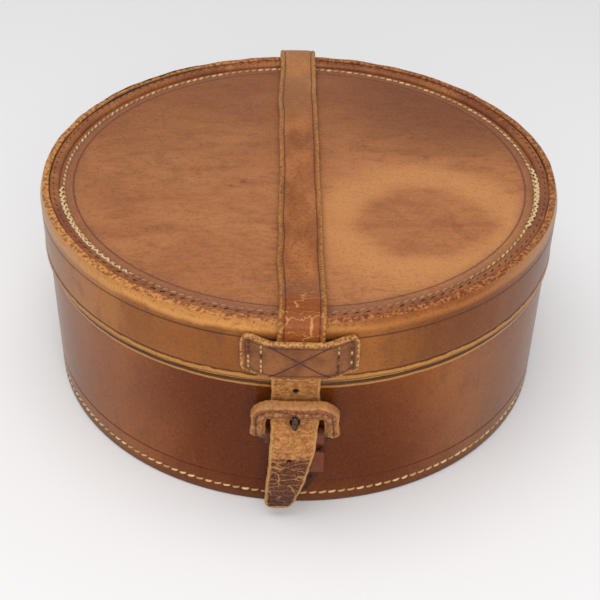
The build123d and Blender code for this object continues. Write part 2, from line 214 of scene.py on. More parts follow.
def rounded_end(half, from_end, corner, least=0.02):
    """Half width of a band near its end, where each corner is a quarter of a circle."""
    short = np.clip(corner - from_end, 0, corner)
    return half - corner + np.sqrt(np.clip(corner ** 2 - short ** 2, least, None))


def ripple(angle, seed, low, high, size):
    """Closed wobble round a circle: sine waves of low to high whole turns, finer ones weaker."""
    draw = np.random.default_rng(seed)
    counts = np.arange(low, high + 1)[:, None]
    weight = draw.normal(size=counts.shape) / np.sqrt(counts)
    phase = draw.uniform(0, 2 * np.pi, counts.shape)
    waves = (weight * np.sin(counts * np.ravel(angle) + phase)).sum(0)
    return size * waves.reshape(np.shape(angle)) / np.sqrt((weight ** 2).sum())


def wander(length, seed, longest, size):
    """Open wobble along a length: eight sine waves, the longest as given and each next one shorter."""
    draw = np.random.default_rng(seed)
    waves = 2 * np.pi * np.arange(1, 9)[:, None] / longest
    phase = draw.uniform(0, 2 * np.pi, waves.shape)
    weight = draw.normal(size=waves.shape) / np.arange(1, 9)[:, None] ** 0.7
    return size * (weight * np.sin(waves * np.ravel(length) + phase)).sum(0).reshape(np.shape(length))


def bell(value, centre, width):
    """Smooth bump of height 1: a bell curve."""
    return np.exp(-(((value - centre) / (width / 2)) ** 2))


def step_up(value, low, high):
    """0 below low, 1 above high, and a smooth S between."""
    share = np.clip((value - low) / (high - low), 0, 1)
    return share * share * (3 - 2 * share)


# %% Turned pieces
def turned(name, profile, turns, shift, marks=None, closed=True):
    """A (radius, height) profile carried round the Z axis, whose points shift then moves out and up."""
    angle = np.linspace(0, 2 * np.pi, turns, endpoint=False)[None, :] + 0 * profile[:, :1]
    radius, height = profile[:, :1] + 0 * angle, profile[:, 1:] + 0 * angle
    out, up = shift(radius, height, angle)
    radius, height = radius + out, height + up
    points = np.stack([radius * np.cos(angle), radius * np.sin(angle), height], -1)
    blocks = [grid_faces(len(profile), turns, wrap_rows=closed, wrap_columns=True)]
    if not closed:
        blocks += end_faces(len(profile), turns)
    kept = {key: np.broadcast_to(value, angle.shape).ravel() for key, value in (marks or {}).items()}
    return add_mesh(name, points, blocks, kept)


# %% [markdown]
# ## Finishes
# Old saddle leather is never one colour. It has a slow drift of tone, cloudy stains, darker handled parts,
# pale raw edges and a fine grain that breaks up the shine. The helpers below build such layers from
# noise read in object coordinates, which stay put on the piece, and from values kept at the mesh points.


# %% Shades, the outputs of nodes
class Shade:
    """Output of a shader node. Sums, differences and products of shades are further nodes of its tree."""

    def __init__(self, tree, socket):
        self.tree, self.socket = tree, socket

    def node(self, kind, sockets, output=0, **settings):
        """Output of a new node whose inputs are given as values or as shades."""
        made = self.tree.nodes.new(kind)
        for key, value in settings.items():
            setattr(made, key, value)
        for key, value in sockets.items():
            if isinstance(value, Shade):
                self.tree.links.new(value.socket, made.inputs[key])
            else:
                made.inputs[key].default_value = value
        return Shade(self.tree, made.outputs[output])

    def maths(self, operation, other=0.0):
        return self.node("ShaderNodeMath", {0: self, 1: other}, operation=operation)

    def __add__(self, other):
        return self.maths("ADD", other)

    def __sub__(self, other):
        return self.maths("SUBTRACT", other)

    def __mul__(self, other):
        return self.maths("MULTIPLY", other)

    def __abs__(self):
        return self.maths("ABSOLUTE")

    def axes(self):
        """The x, y and z of a place."""
        return [self.node("ShaderNodeSeparateXYZ", {0: self}, axis) for axis in range(3)]

    def far_from(self, x, y, z=0):
        """How far a place is from another, which is given in millimetres."""
        sockets = {0: self, 1: (x * MM, y * MM, z * MM)}
        return self.node("ShaderNodeVectorMath", sockets, "Value", operation="DISTANCE")

    def kept(self, key):
        """The value kept under a name at the mesh points."""
        return self.node("ShaderNodeAttribute", {}, "Fac", attribute_name=key)

    def cloud(self, scale, detail=4.0, stretch=(1, 1, 1), rough=0.55, twist=0.0):
        """Noise of the given scale at a place, stretched along an axis where stretch is below 1."""
        moved = self.node("ShaderNodeMapping", {"Vector": self, "Scale": stretch})
        sockets = {"Vector": moved, "Scale": scale, "Detail": detail, "Roughness": rough, "Distortion": twist}
        return self.node("ShaderNodeTexNoise", sockets)

    def laid(self, over, share, low=None, high=None, top=1.0, mode="MIX"):
        """This colour under another, by a share, or by 0 to top as share goes from low to high."""
        share = share if low is None else fade(share, low, high, top)
        sockets = {0: share, 6: self, 7: over if isinstance(over, Shade) else (*over, 1)}
        return self.node("ShaderNodeMix", sockets, 2, data_type="RGBA", blend_type=mode)

    def layers(self, *rows):
        """This colour under several others, laid on in turn."""
        colour = self
        for row in rows:
            colour = colour.laid(*row)
        return colour


def fade(value, low, high, top=1.0):
    """0 to top as the value goes from low to high, along a smooth S."""
    sockets = {"Value": value, "From Min": low, "From Max": high, "To Min": 0.0, "To Max": top}
    return value.node("ShaderNodeMapRange", sockets, interpolation_type="SMOOTHSTEP")


def between(value, low, high, first, last, top=1.0):
    """Colour from first towards last as the value goes from low to high."""
    sockets = {0: fade(value, low, high, top), 6: (*first, 1), 7: (*last, 1)}
    return value.node("ShaderNodeMix", sockets, 2, data_type="RGBA")


def plane(first, second):
    """Place on a flat sheet from two shades."""
    return first.node("ShaderNodeCombineXYZ", {0: first, 1: second})


def finish(name, paint, bumps, roughness, sheen=0.0, coat=0.0, coat_rough=0.3, metallic=0.0, specular=0.22,
           speckle=0.0, coat_ior=1.5):
    """Material whose paint function gives a colour, a height and a change of roughness."""
    material = bpy.data.materials.new(name)
    material.use_nodes = True
    tree = material.node_tree
    tree.nodes.clear()
    place = Shade(tree, tree.nodes.new("ShaderNodeTexCoord").outputs["Object"])
    colour, height, change = paint(place)
    if speckle:
        pores = place.cloud(1100, 4, rough=0.75)
        colour = colour.laid((0.30, 0.22, 0.18), pores, 0.50, 0.66, speckle, "MULTIPLY")
        colour = colour.laid((0.50, 0.20, 0.05), pores, 0.46, 0.32, 0.25 * speckle)
    for scale, size in bumps:
        height = place.cloud(scale, 2.0) * size + height
    bump = place.node("ShaderNodeBump", {"Height": height, "Distance": MM, "Strength": 1.0})
    uneven = place.node("ShaderNodeMath", {0: roughness, 1: change}, operation="ADD", use_clamp=True)
    shader = place.node("ShaderNodeBsdfPrincipled", {
        "Base Color": colour, "Roughness": uneven, "Normal": bump, "Sheen Weight": sheen, "Coat Weight": coat,
        "Coat Roughness": coat_rough, "Coat IOR": coat_ior, "Metallic": metallic,
        "Specular IOR Level": specular})
    tree.links.new(shader.socket, tree.nodes.new("ShaderNodeOutputMaterial").inputs["Surface"])
    return material


# %% [markdown]
# ## The leather of the top
# The flat top is warm tan, browner toward its edge, with cloudy smears, a few dark specks, short
# scratches, and one wide tide mark at the front right where something wet once stood.

# %% Top leather finish
TAN, PALE_TAN = (0.38, 0.138, 0.048), (0.50, 0.205, 0.072)
UMBER, PLUM = (0.19, 0.062, 0.026), (0.25, 0.095, 0.050)
TIDE_BROWN, TIDE_PALE, FLESH_SIDE = (0.3135, 0.1114, 0.0403), (0.58, 0.260, 0.090), (0.24, 0.12, 0.055)
DARK_LINE, GOLDEN = (0.060, 0.018, 0.010), (0.46, 0.205, 0.048)


def scratch(place, x, y, turn, length, width=0.35):
    """Share of a short straight scratch on a flat face: a thin box with soft sides."""
    sockets = {"Vector": place, "Location": (x * MM, y * MM, 0), "Rotation": (0, 0, np.radians(turn))}
    along, across, _ = place.node("ShaderNodeMapping", sockets, vector_type="TEXTURE").axes()
    return fade(abs(along), length * MM / 2, length * MM / 3) * fade(abs(across), width * MM, 0.0)


def paint_top(place):
    x, y, _ = place.axes()
    flat = plane(x, y)
    radius = flat.node("ShaderNodeVectorMath", {0: flat}, "Value", operation="LENGTH")
    clouds = place.cloud(26, 5, (0.7, 1.2, 1), twist=0.6)
    fine = place.cloud(120, 5, (0.5, 1.3, 1))
    pores = place.cloud(480, 4, (0.6, 1.2, 1), rough=0.7)
    streaks = place.cloud(200, 5, (0.35, 2.2, 1), rough=0.65)
    smear = place.cloud(34, 3, (1.0, 2.2, 1), twist=1.2)
    mottle = place.cloud(85, 6, (0.8, 1.1, 1), rough=0.75, twist=0.8)
    to_front = fade(x - y, -0.11, 0.12)
    rear_right = flat.far_from(66, 62) + clouds * 0.03
    colour = between(clouds, 0.32, 0.66, TAN, PALE_TAN)
    colour = colour.laid(UMBER, 0.45).laid(colour, to_front * 0.5).layers(
        (PALE_TAN, to_front * 0.35),
        (UMBER, fine, 0.5, 0.75, 0.4),
        (UMBER, pores, 0.50, 0.70, 0.35),
        (PALE_TAN, pores, 0.48, 0.32, 0.25),
        (UMBER, y, 0.0, 0.085, 0.55),
        ((0.25, 0.080, 0.026), streaks, 0.52, 0.70, 0.35),
        (PLUM, smear, 0.60, 0.76, 0.42),
        ((0.20, 0.066, 0.030), mottle, 0.52, 0.68, 0.40),
        ((0.12, 0.036, 0.015), rear_right, 0.080, 0.035, 0.60))
    tide = flat.far_from(45, -33) + place.cloud(30, 4) * 0.016
    inside = fade(tide, 0.041, 0.024, 0.26)
    ring = fade(tide, 0.028, 0.037) * fade(tide, 0.058, 0.040, 0.6)
    blots = inside * fade(mottle, 0.44, 0.62, 0.9)
    edge = radius + place.cloud(40) * 0.006
    circle = abs(radius - top_circle_radius * MM)
    colour = colour.layers(
        (TIDE_BROWN, inside), (TIDE_PALE, ring), ((0.25, 0.088, 0.034), blots),
        (PLUM, edge, 0.0865, 0.0935, 0.75),
        ((0.085, 0.026, 0.013), circle, 0.0006, 0.0001, 0.60))
    for x, y, size in [(-26.2, -11.0, 1.6), (-21.8, -7.9, 2.2), (-60, 40, 1.2), (30, 48, 1.3),
                       (-40, 20, 1.1)]:
        colour = colour.laid(UMBER, flat.far_from(x, y), size * MM, 0.0004, 0.7)
    for *line, shade in [(-58, 26, -66, 17, UMBER), (-5, -49, 10, 4, PALE_TAN), (-24, 52, 80, 12, UMBER),
                         (58, -60, 75, 6, PALE_TAN), (20, -60, 30, 5, PALE_TAN)]:
        colour = colour.laid(shade, scratch(place, *line) * 0.5)
    for x, y, size in [(-46, 44, 12), (-30, 56, 9)]:
        colour = colour.laid(UMBER, abs(flat.far_from(x, y) - size * MM), 0.0007, 0.0001, 0.3)
    return colour, smear * 0.25, fine * 0.25 - 0.12


top_finish = finish("top_leather", paint_top, [(900, 0.14), (2600, 0.07)], 0.50, coat=0.10, coat_rough=0.4,
                    specular=0.12, speckle=0.38, coat_ior=1.3)

# %% [markdown]
# ## The leather of the walls
# The walls are glossier and darker than the top. Handling has polished them, so a thin coat lets them
# mirror the pale room at a glancing angle, and a grey sheen is painted on their sides as well. The lid's
# wall is worn to orange over its shoulder, and every cut edge has gone golden.


# %% Wall finishes
def tooled(colour, height, line):
    """A dark line pressed into the leather at one height."""
    return colour.laid((0.075, 0.020, 0.008), abs(height - line * MM), 0.55 * MM, 0.15 * MM, 0.80)


def paint_lid_wall(place):
    x, y, height = place.axes()
    clouds = place.cloud(22, 5, (1, 1, 0.5), twist=0.4)
    fine = place.cloud(130, 5, (1, 1, 0.6))
    rough = place.cloud(650, 5, rough=0.7)
    worn = height + place.cloud(60, 5) * 0.004
    shoulder = fade(worn, 0.0792, 0.0820) * (fade(y, -0.02, -0.085) * 0.55 + 0.4)
    shoulder_gold = between(x, -0.01, 0.04, (0.60, 0.270, 0.074), (0.38, 0.132, 0.030))
    specks = fade(rough, 0.54, 0.64) * fade(height, 0.0785, 0.0815, 0.75)
    red_edge = fade(worn, 0.0812, 0.0838) * (fade(x, -0.01, 0.04) * 0.45 + 0.30)
    # The sides get a painted grey sheen, paler and golden over the shoulder: a painted reflection of the pale
    # room.
    sides = fade(abs(x), 0.055, 0.094, 0.3)
    right = fade(x, 0.012, 0.045) * fade(height, 0.0800, 0.0770, 0.72)
    colour = between(clouds, 0.35, 0.68, (0.23, 0.073, 0.015), (0.36, 0.130, 0.027)).layers(
        ((0.14, 0.042, 0.015), fine, 0.50, 0.72, 0.45),
        (shoulder_gold, shoulder),
        ((0.15, 0.038, 0.016), specks),
        ((0.22, 0.062, 0.020), red_edge),
        ((0.34, 0.150, 0.060), sides),
        ((0.54, 0.290, 0.120), sides * fade(worn, 0.0800, 0.0825, 2.0)),
        ((0.140, 0.036, 0.006), right))
    colour = tooled(colour, height, lid_line_height)
    foot = height + place.cloud(150, 5) * 0.0014
    # The lowest, near black band is painted shade in the gap under the lid's foot.
    for level, share, over in [(4.0, 0.75, DARK_LINE), (3.4, 0.9, GOLDEN), (2.2, 0.8, (0.12, 0.040, 0.014)),
                               (1.7, 0.9, GOLDEN), (0.65, 0.95, (0.035, 0.012, 0.007))]:
        line = (lid_foot + level) * MM
        colour = colour.laid(over, foot, line, line - 0.35 * MM, share)
    worn_lip = between(rough, 0.42, 0.60, (0.14, 0.036, 0.012), (0.46, 0.170, 0.046))
    raw_lip = between(rough, 0.40, 0.56, (0.19, 0.055, 0.016), (0.62, 0.280, 0.075))
    lip = worn_lip.laid(raw_lip, fade(x, 0.02, -0.07) * 0.8)
    colour = colour.layers((lip, place.kept("lip") * 0.92), ((0.055, 0.030, 0.018), place.kept("inner")))
    return colour, fine * 0.15, fine * 0.22 - 0.10


def paint_base_wall(place):
    x, _, height = place.axes()
    clouds = place.cloud(18, 5, (1, 1, 0.45), twist=0.5)
    fine = place.cloud(140, 5, (1, 1, 0.7))
    scuff = place.cloud(70, 6, (1.4, 1.4, 0.5), twist=1.0)
    colour = between(clouds, 0.32, 0.66, (0.170, 0.036, 0.005), (0.31, 0.088, 0.014)).layers(
        ((0.105, 0.026, 0.009), fine, 0.52, 0.74, 0.4),
        # Low at the front middle, near the buckle, the wall is painted darker: painted shade and dark
        # reflection.
        ((0.086, 0.016, 0.002), place.far_from(0, -98, 30) + clouds * 0.03, 0.082, 0.034, 0.85),
        # The sides get a painted grey sheen, greyer and darker on the right: a painted reflection.
        ((0.31, 0.145, 0.070), abs(x), 0.030, 0.080, 0.38),
        ((0.100, 0.048, 0.032), x, 0.040, 0.085, 0.45),
        ((0.40, 0.15, 0.045), scuff, 0.64, 0.74, 0.35))
    colour = tooled(colour, height, base_line_height)
    rise = height + place.cloud(90, 4) * 0.0012
    colour = colour.layers(
        ((0.10, 0.040, 0.020), height, 0.0040, 0.0018, 0.7),
        (GOLDEN, rise, (seam_height - 2.6) * MM, (seam_height - 2.0) * MM, 0.9),
        # Near black just under the seam: painted shade under the lid's overhang.
        ((0.05, 0.017, 0.008), rise, (seam_height - 1.5) * MM, (seam_height - 0.9) * MM, 0.9),
        ((0.16, 0.085, 0.045), place.kept("inner")))
    return colour, fine * 0.15, fine * 0.20 - 0.10


lid_wall_finish = finish("lid_wall_leather", paint_lid_wall, [(1000, 0.10), (2800, 0.05)], 0.42, coat=0.80,
                         coat_rough=0.30, specular=0.02, speckle=0.38, coat_ior=1.25)
base_wall_finish = finish("base_wall_leather", paint_base_wall, [(1000, 0.09), (2800, 0.045)], 0.38,
                          coat=0.95, coat_rough=0.26, specular=0.0, speckle=0.35, coat_ior=1.24)

# %% [markdown]
# ## The walls
# Each wall is one strip of thick leather sewn into a ring. A turned profile gives it: up the outer face,
# with the tooled line and the thread's channel pressed in, over the top and down the inner face. A slow
# ripple keeps it from being a machined ring. The lid's top edge stands as a lip, and at the back left it
# has sprung away from the welt.


# %% Base wall
def base_wall():
    inner, turns = base_radius - wall_leather, 480
    corners = [(inner, 0.0), (base_radius, 0.0), (base_radius, seam_height), (inner, seam_height),
               (inner, 0.0)]
    profile = rounded_line(corners, [0.8, 1.0, 0.5], 0.75)
    fine = np.linspace(0, seam_height, 300)
    at_lines = fine[(abs(fine - base_line_height) < 1.4) | (abs(fine - foot_stitch_height) < 2.0)]
    extra = np.stack([np.full(len(at_lines), base_radius), at_lines], -1)
    outer = (abs(profile[:, 0] - base_radius) < 0.01)
    face = np.concatenate([profile[outer], extra])
    face = face[np.argsort(face[:, 1])]
    first = int(np.argmax(outer))
    profile = np.concatenate([profile[:first], face, profile[first + int(outer.sum()):-1]])
    face_from = base_radius - 1.2

    def shift(radius, height, angle):
        groove = -0.22 * bell(height, base_line_height, 0.7) - 0.45 * bell(height, foot_stitch_height, 1.7)
        roll = 0.22 * bell(height, seam_height - 1.3, 1.8) - 0.12 * bell(height, seam_height - 3.2, 1.2)
        slow = ripple(angle, 3, 2, 7, 0.18) * np.sin(np.pi * height / seam_height)
        rise = 0.10 * ripple(angle, 4, 5, 30, 1.0) * step_up(height, 50, 57)
        return (radius > face_from) * (groove + roll) + slow, rise

    return turned("base_wall", profile, turns, shift, {"inner": profile[:, :1] <= face_from})


dress(base_wall(), base_wall_finish, "wall_leather", "base", "base_wall_leather")


# %% Lid wall
def sprung(angle):
    """1 where the lip has sprung away from the welt, at the back left."""
    turn = np.degrees(angle) % 360
    return step_up(turn, 108, 122) * (1 - step_up(turn, 138, 158))


def lid_wall():
    inner, turns = lid_radius - wall_leather, 760
    corners = [(inner, lid_foot), (lid_radius, lid_foot), (lid_radius, shoulder_height),
               (lid_radius - 1.0, lip_height), (inner, lip_height), (inner, lid_foot)]
    profile = rounded_line(corners, [0.9, 3.0, 0.5, 0.4], 0.5)[:-1]
    radii, heights = profile[:, :1], profile[:, 1:]
    inside = (radii < inner + 0.3) & (heights <= lip_height - 0.9)
    lip = step_up(heights, lip_height - 1.0, lip_height - 0.3) * (radii < lid_radius - 0.8)

    def shift(radius, height, angle):
        groove = -0.22 * bell(height, lid_line_height, 0.7) - 0.30 * bell(height, lid_foot + 3.1, 0.9)
        bead = 0.30 * bell(height, lid_foot + 1.2, 2.2)
        lip_zone = step_up(height, lip_height - 2.5, lip_height)
        lean = sprung(angle) * (radius < inner + 1.2) * lip_zone * 1.5
        out = (radius > lid_radius - 0.9) * (groove + bead) + ripple(angle, 5, 2, 6, 0.15)
        foot = (1 - step_up(height, lid_foot, lid_foot + 2)) * ripple(angle, 8, 6, 50, 0.09)
        up = lip_zone * (ripple(angle, 7, 5, 60, 0.16) - 0.15)
        return out + lean + lip_zone * ripple(angle, 6, 6, 40, 0.10), up + foot

    return turned("lid_wall", profile, turns, shift, {"lip": lip, "inner": inside})


dress(lid_wall(), lid_wall_finish, "wall_leather", "lid", "lid_wall_leather")

# %% [markdown]
# ## The top and its welt
# The top is a disc of leather that has sunk a little unevenly into its rim. Its tooled circle and the
# channel for the thread are pressed in. The welt is a rolled strip round its edge, whose surface is
# crossed by the pull of the stitches, so it gets some three hundred shallow ridges.


# %% Top disc
def lid_top():
    low, hub = top_low[2], 1.0
    rings = np.concatenate([np.linspace(hub, top_circle_radius - 2, 60),
                            np.linspace(top_circle_radius - 1.8, rim_stitch_radius + 1.8, 44),
                            np.linspace(rim_stitch_radius + 2.1, top_radius, 8)])
    upper = np.stack([rings, np.full(len(rings), field)], -1)
    profile = np.concatenate([upper, [(top_radius, low), (hub, low)]])

    def shift(radius, height, angle):
        groove = -0.22 * bell(radius, top_circle_radius, 0.8) - 0.5 * bell(radius, rim_stitch_radius, 1.5)
        x, y = radius * np.cos(angle), radius * np.sin(angle)
        slow = 0.18 * np.sin(x / 21 + 0.8) * np.sin(y / 26 + 0.4) + 0.10 * np.sin(x / 9 - y / 13)
        slow = slow * (1 - step_up(radius, 70, 88)) - 0.22 * (1 - step_up(radius, 20, 86))
        return 0 * radius, (height > field - 0.5) * (groove + slow)

    return turned("lid_top", profile, 480, shift, closed=False)


dress(lid_top(), top_finish, "top_leather", "lid", "lid_top_leather")


# %% Welt
def paint_welt(place):
    fine, clouds = place.cloud(170, 4), place.cloud(35, 4)
    colour = between(clouds, 0.35, 0.65, (0.19, 0.050, 0.015), (0.32, 0.110, 0.030)).layers(
        ((0.28, 0.080, 0.024), place.axes()[1], -0.06, -0.09, 0.6),
        # The dents between the ridges are painted darker: painted shade in the dents.
        ((0.075, 0.025, 0.014), place.kept("ridge"), 0.45, 0.0, 0.40),
        ((0.38, 0.19, 0.075), fine, 0.55, 0.72, 0.5))
    return colour, fine * 0.2, fine * 0.3 - 0.15


def welt_pull(angle):
    """1 on the crest of a ridge and 0 in the dent beside it. The ridges drift a little from even places."""
    return np.abs(np.sin(welt_ridges / 2 * angle + 0.6 * ripple(angle, 11, 3, 20, 1.0)))


def rim_welt():
    inner, outer, low, high = top_radius - welt_width, top_radius, welt_low[2], welt_high[2]
    corners = [(inner, low), (inner, high - 0.2), (outer, high), (outer, low)]
    profile = rounded_line(corners, [1.2, 0.9], 0.42)
    turns = 2400

    def shift(radius, height, angle):
        crown = 0.30 * bell(radius, (inner + outer) / 2, 3.2)
        depth = 0.11 + 0.08 * ripple(angle, 12, 4, 60, 1.0)
        dent = depth * (1 - welt_pull(angle) ** 1.5) * bell(radius, inner + 1.2, 3.4)
        lean = -0.9 * sprung(angle) * (radius > outer - 0.8)
        return lean, (height > low + 0.4) * (crown - 0.2 - dent)

    ridge = welt_pull(np.linspace(0, 2 * np.pi, turns, endpoint=False))[None, :]
    return turned("rim_welt_piece", profile, turns, shift, {"ridge": ridge})


welt_finish = finish("welt_leather", paint_welt, [(1200, 0.14), (450, 0.25)], 0.34, coat=0.35,
                     coat_rough=0.22, specular=0.15, speckle=0.45, coat_ior=1.35)
dress(rim_welt(), welt_finish, "welt_leather", "lid", "rim_welt")

# %% [markdown]
# ## Thread
# A saddle stitch shows as a short fat rod whose ends dive into the leather. One small rod is repeated
# along each seam, and every copy is a little longer, shorter or more askew than the next.


# %% Rows of stitches
def stitches(name, centre, along, out, length, width, seed, slant=0.0, dip=0.5):
    """Six-sided rods, each tapered to its ends, which sink by dip times the fourth power of their share."""
    draw = np.random.default_rng(seed)
    count = len(centre)
    share = np.array([-1, -0.86, -0.45, 0, 0.45, 0.86, 1.0])[None, :, None, None]
    fat = np.array([0.35, 0.82, 1.0, 1.0, 1.0, 0.82, 0.35])[None, :, None, None]
    ring = (np.arange(6) * np.pi / 3)[None, None, :, None]
    turn = (slant + draw.normal(0, 0.05, count))[:, None]
    side = np.cross(out, along)
    along, side = np.cos(turn) * along + np.sin(turn) * side, np.cos(turn) * side - np.sin(turn) * along
    reach = (length * draw.uniform(0.90, 1.06, count))[:, None, None, None]
    wide = (width * draw.uniform(0.88, 1.12, count))[:, None, None, None]
    centre, along, side, out = (v[:, None, None, :] for v in (centre, along, side, out))
    lift = fat * np.sin(ring) * wide / 2 - dip * share ** 4
    points = centre + along * share * reach / 2 + side * fat * np.cos(ring) * wide / 2 + out * lift
    rod, caps = grid_faces(7, 6, wrap_columns=True), np.concatenate(end_faces(7, 6))
    move = (np.arange(count) * 42)[:, None, None]
    blocks = [(rod[None] + move).reshape(-1, 4), (caps[None] + move).reshape(-1, 6)]
    each = np.repeat(draw.uniform(0, 1, count), 42)
    end = np.tile(np.repeat(np.abs(share.ravel()), 6), count)
    return add_mesh(name, points, blocks, {"each": each, "end": end})


def round_places(radius, height, pitch, flat):
    """Centres, directions along and directions outward of stitches round a flat top or a wall."""
    count = round(2 * np.pi * radius / pitch)
    angle = 2 * np.pi * np.arange(count) / count
    outward = np.stack([np.cos(angle), np.sin(angle), 0 * angle], -1)
    along = np.stack([-np.sin(angle), np.cos(angle), 0 * angle], -1)
    centre = outward * radius + np.array([0, 0, height])
    return centre, along, np.broadcast_to([0.0, 0, 1], centre.shape) if flat else outward


def thread_finish(name, spread, shades, tips, zone=None, fuzz=None, roughness=0.62, **look):
    """Each stitch has its own tone between two shades, darker at its tips as painted shade where they sink into
    the leather, and darker in a zone and in its fuzz.
    """
    def paint(place):
        fine = place.cloud(900, 3)
        colour = between(place.kept("each"), *spread, *shades)
        if zone:
            colour = colour.laid(zone[0], place.axes()[1], *zone[1:])
        colour = colour.laid(tips[0], place.kept("end"), tips[1], 1.0, tips[2])
        if fuzz:
            colour = colour.laid(fuzz[0], fine, 0.5, 0.7, fuzz[1])
        return colour, fine * 0.12, 0.0

    return finish(name, paint, [(3000, 0.05)], roughness, **look)


cream_finish = thread_finish("cream_thread", (0.1, 0.9), [(0.44, 0.26, 0.095), (0.68, 0.47, 0.24)],
                             ((0.20, 0.09, 0.04), 0.6, 0.6), fuzz=((0.28, 0.15, 0.07), 0.35), sheen=0.2)
rim_thread_finish = thread_finish("rim_thread", (0.1, 0.9), [(0.40, 0.215, 0.075), (0.66, 0.44, 0.19)],
                                  ((0.12, 0.045, 0.018), 0.5, 0.7),
                                  zone=((0.30, 0.140, 0.048), -0.045, -0.085, 0.7), sheen=0.2)
dark_thread_finish = thread_finish("dark_thread", (0.55, 0.95), [(0.050, 0.014, 0.008), (0.15, 0.050, 0.022)],
                                   ((0.03, 0.012, 0.008), 0.6, 0.5), fuzz=((0.14, 0.05, 0.03), 0.3),
                                   zone=((0.17, 0.052, 0.020), -0.080, -0.045, 0.7), roughness=0.5,
                                   specular=0.05)
loop_thread_finish = thread_finish("loop_thread", (0.35, 0.65), [(0.10, 0.045, 0.025), (0.50, 0.33, 0.14)],
                                   ((0.05, 0.02, 0.012), 0.6, 0.6), roughness=0.55, specular=0.05)


def sew(name, places, length, width, seed, material, slot, body, node, **extra):
    """A row of stitches at its places, dressed."""
    return dress(stitches(name, *places, length, width, seed, **extra), material, slot, body, node)


sunk = 0.12
sew("rim_stitches", round_places(rim_stitch_radius, field - sunk, 3.1, True), 2.85, 0.92, 21,
    rim_thread_finish, "cream_thread", "lid", "rim_inner_stitching", slant=0.22)
sew("shoulder_stitches", round_places(welt_stitch_radius, welt_high[2] - sunk, 3.9, True), 2.6, 0.65, 22,
    dark_thread_finish, "dark_thread", "lid", "rim_outer_stitching", slant=0.35)
sew("foot_stitches", round_places(base_radius - 0.18, foot_stitch_height, 3.5, False), 3.1, 0.85, 23,
    cream_finish, "cream_thread", "base", "base_foot_stitching", slant=0.16)


# %% Loose threads on the rim
def tube_points(line, radius, sides=6):
    """Rings round a line: each ring lies across the line's direction, and the ends are thinner."""
    ahead = directions(line)
    side = unit(np.cross(ahead, [0, 0, 1.0]))
    up = np.cross(side, ahead)
    ring = np.arange(sides) * 2 * np.pi / sides
    from_end = np.minimum(np.arange(len(line)), np.arange(len(line))[::-1])
    thick = radius * np.minimum(1, from_end * 0.5 + 0.4)
    round_it = np.cos(ring)[None, :, None] * side[:, None] + np.sin(ring)[None, :, None] * up[:, None]
    return line[:, None] + round_it * thick[:, None, None]


def loose_threads():
    """Wavy threads where the seam has let go, each between two angles in degrees and at its own radius."""
    wave, thread_radius, sides = 3.3, 0.42, 6
    points, blocks, total = [], [], 0
    for first, last, radius, wobble, seed in [(-170, -129, 91.7, 0.55, 31), (-166, -134, 92.5, 0.50, 32),
                                              (-24, 3, 91.4, 0.60, 33), (-12, -3, 92.3, 0.60, 34)]:
        angle = np.radians(np.linspace(first, last, max(30, int(abs(last - first) * 9))))
        length = angle * radius
        turn = 2 * np.pi * length / wave
        out = radius + wobble * np.sin(turn + seed) + wander(length, seed, 22, 0.16)
        up = field + 0.40 + 0.35 * np.sin(turn + 2 * seed) ** 2
        line = np.stack([out * np.cos(angle), out * np.sin(angle), up], -1)
        closed_tube = [grid_faces(len(line), sides, wrap_columns=True), *end_faces(len(line), sides)]
        blocks += [block + total for block in closed_tube]
        points.append(tube_points(line, thread_radius, sides).reshape(-1, 3))
        total += len(line) * sides
    return add_mesh("loose_rim_thread", np.concatenate(points), blocks, {"each": 0.95, "end": 0.0})


dress(loose_threads(), cream_finish, "cream_thread", "lid")

# %% [markdown]
# ## Leather bands
# A strap and a loop are both a flat section with rounded edges carried along a line. The section's points
# know how far they are from the edge and along the line, so the finish can crack the middle and
# leave the cut edges golden.


# %% Bands
def section(edge_round, faces):
    """Loop round a flat section: shares of half its width and of its thickness, and its corners' arcs."""
    turn = np.radians([90, 60, 30, 0])
    across = np.linspace(-1, 1, faces)[1:-1]
    under = np.linspace(1, -1, 7)[1:-1]
    share_across = np.concatenate([across, np.ones(8), under, -np.ones(8)])
    add_across = np.concatenate([0 * across, np.cos(turn), np.cos(-turn[::-1]), 0 * under,
                                 -np.cos(turn), -np.cos(turn[::-1])]) * edge_round
    share_thick = np.concatenate([1 + 0 * across, np.ones(4), np.zeros(4), 0 * under, np.zeros(4),
                                  np.ones(4)])
    add_thick = np.concatenate([1 + 0 * across, np.sin(turn), -np.sin(turn[::-1]), -1 + 0 * under,
                                -np.sin(turn), np.sin(turn[::-1])]) * edge_round
    return share_across, add_across, share_thick, add_thick


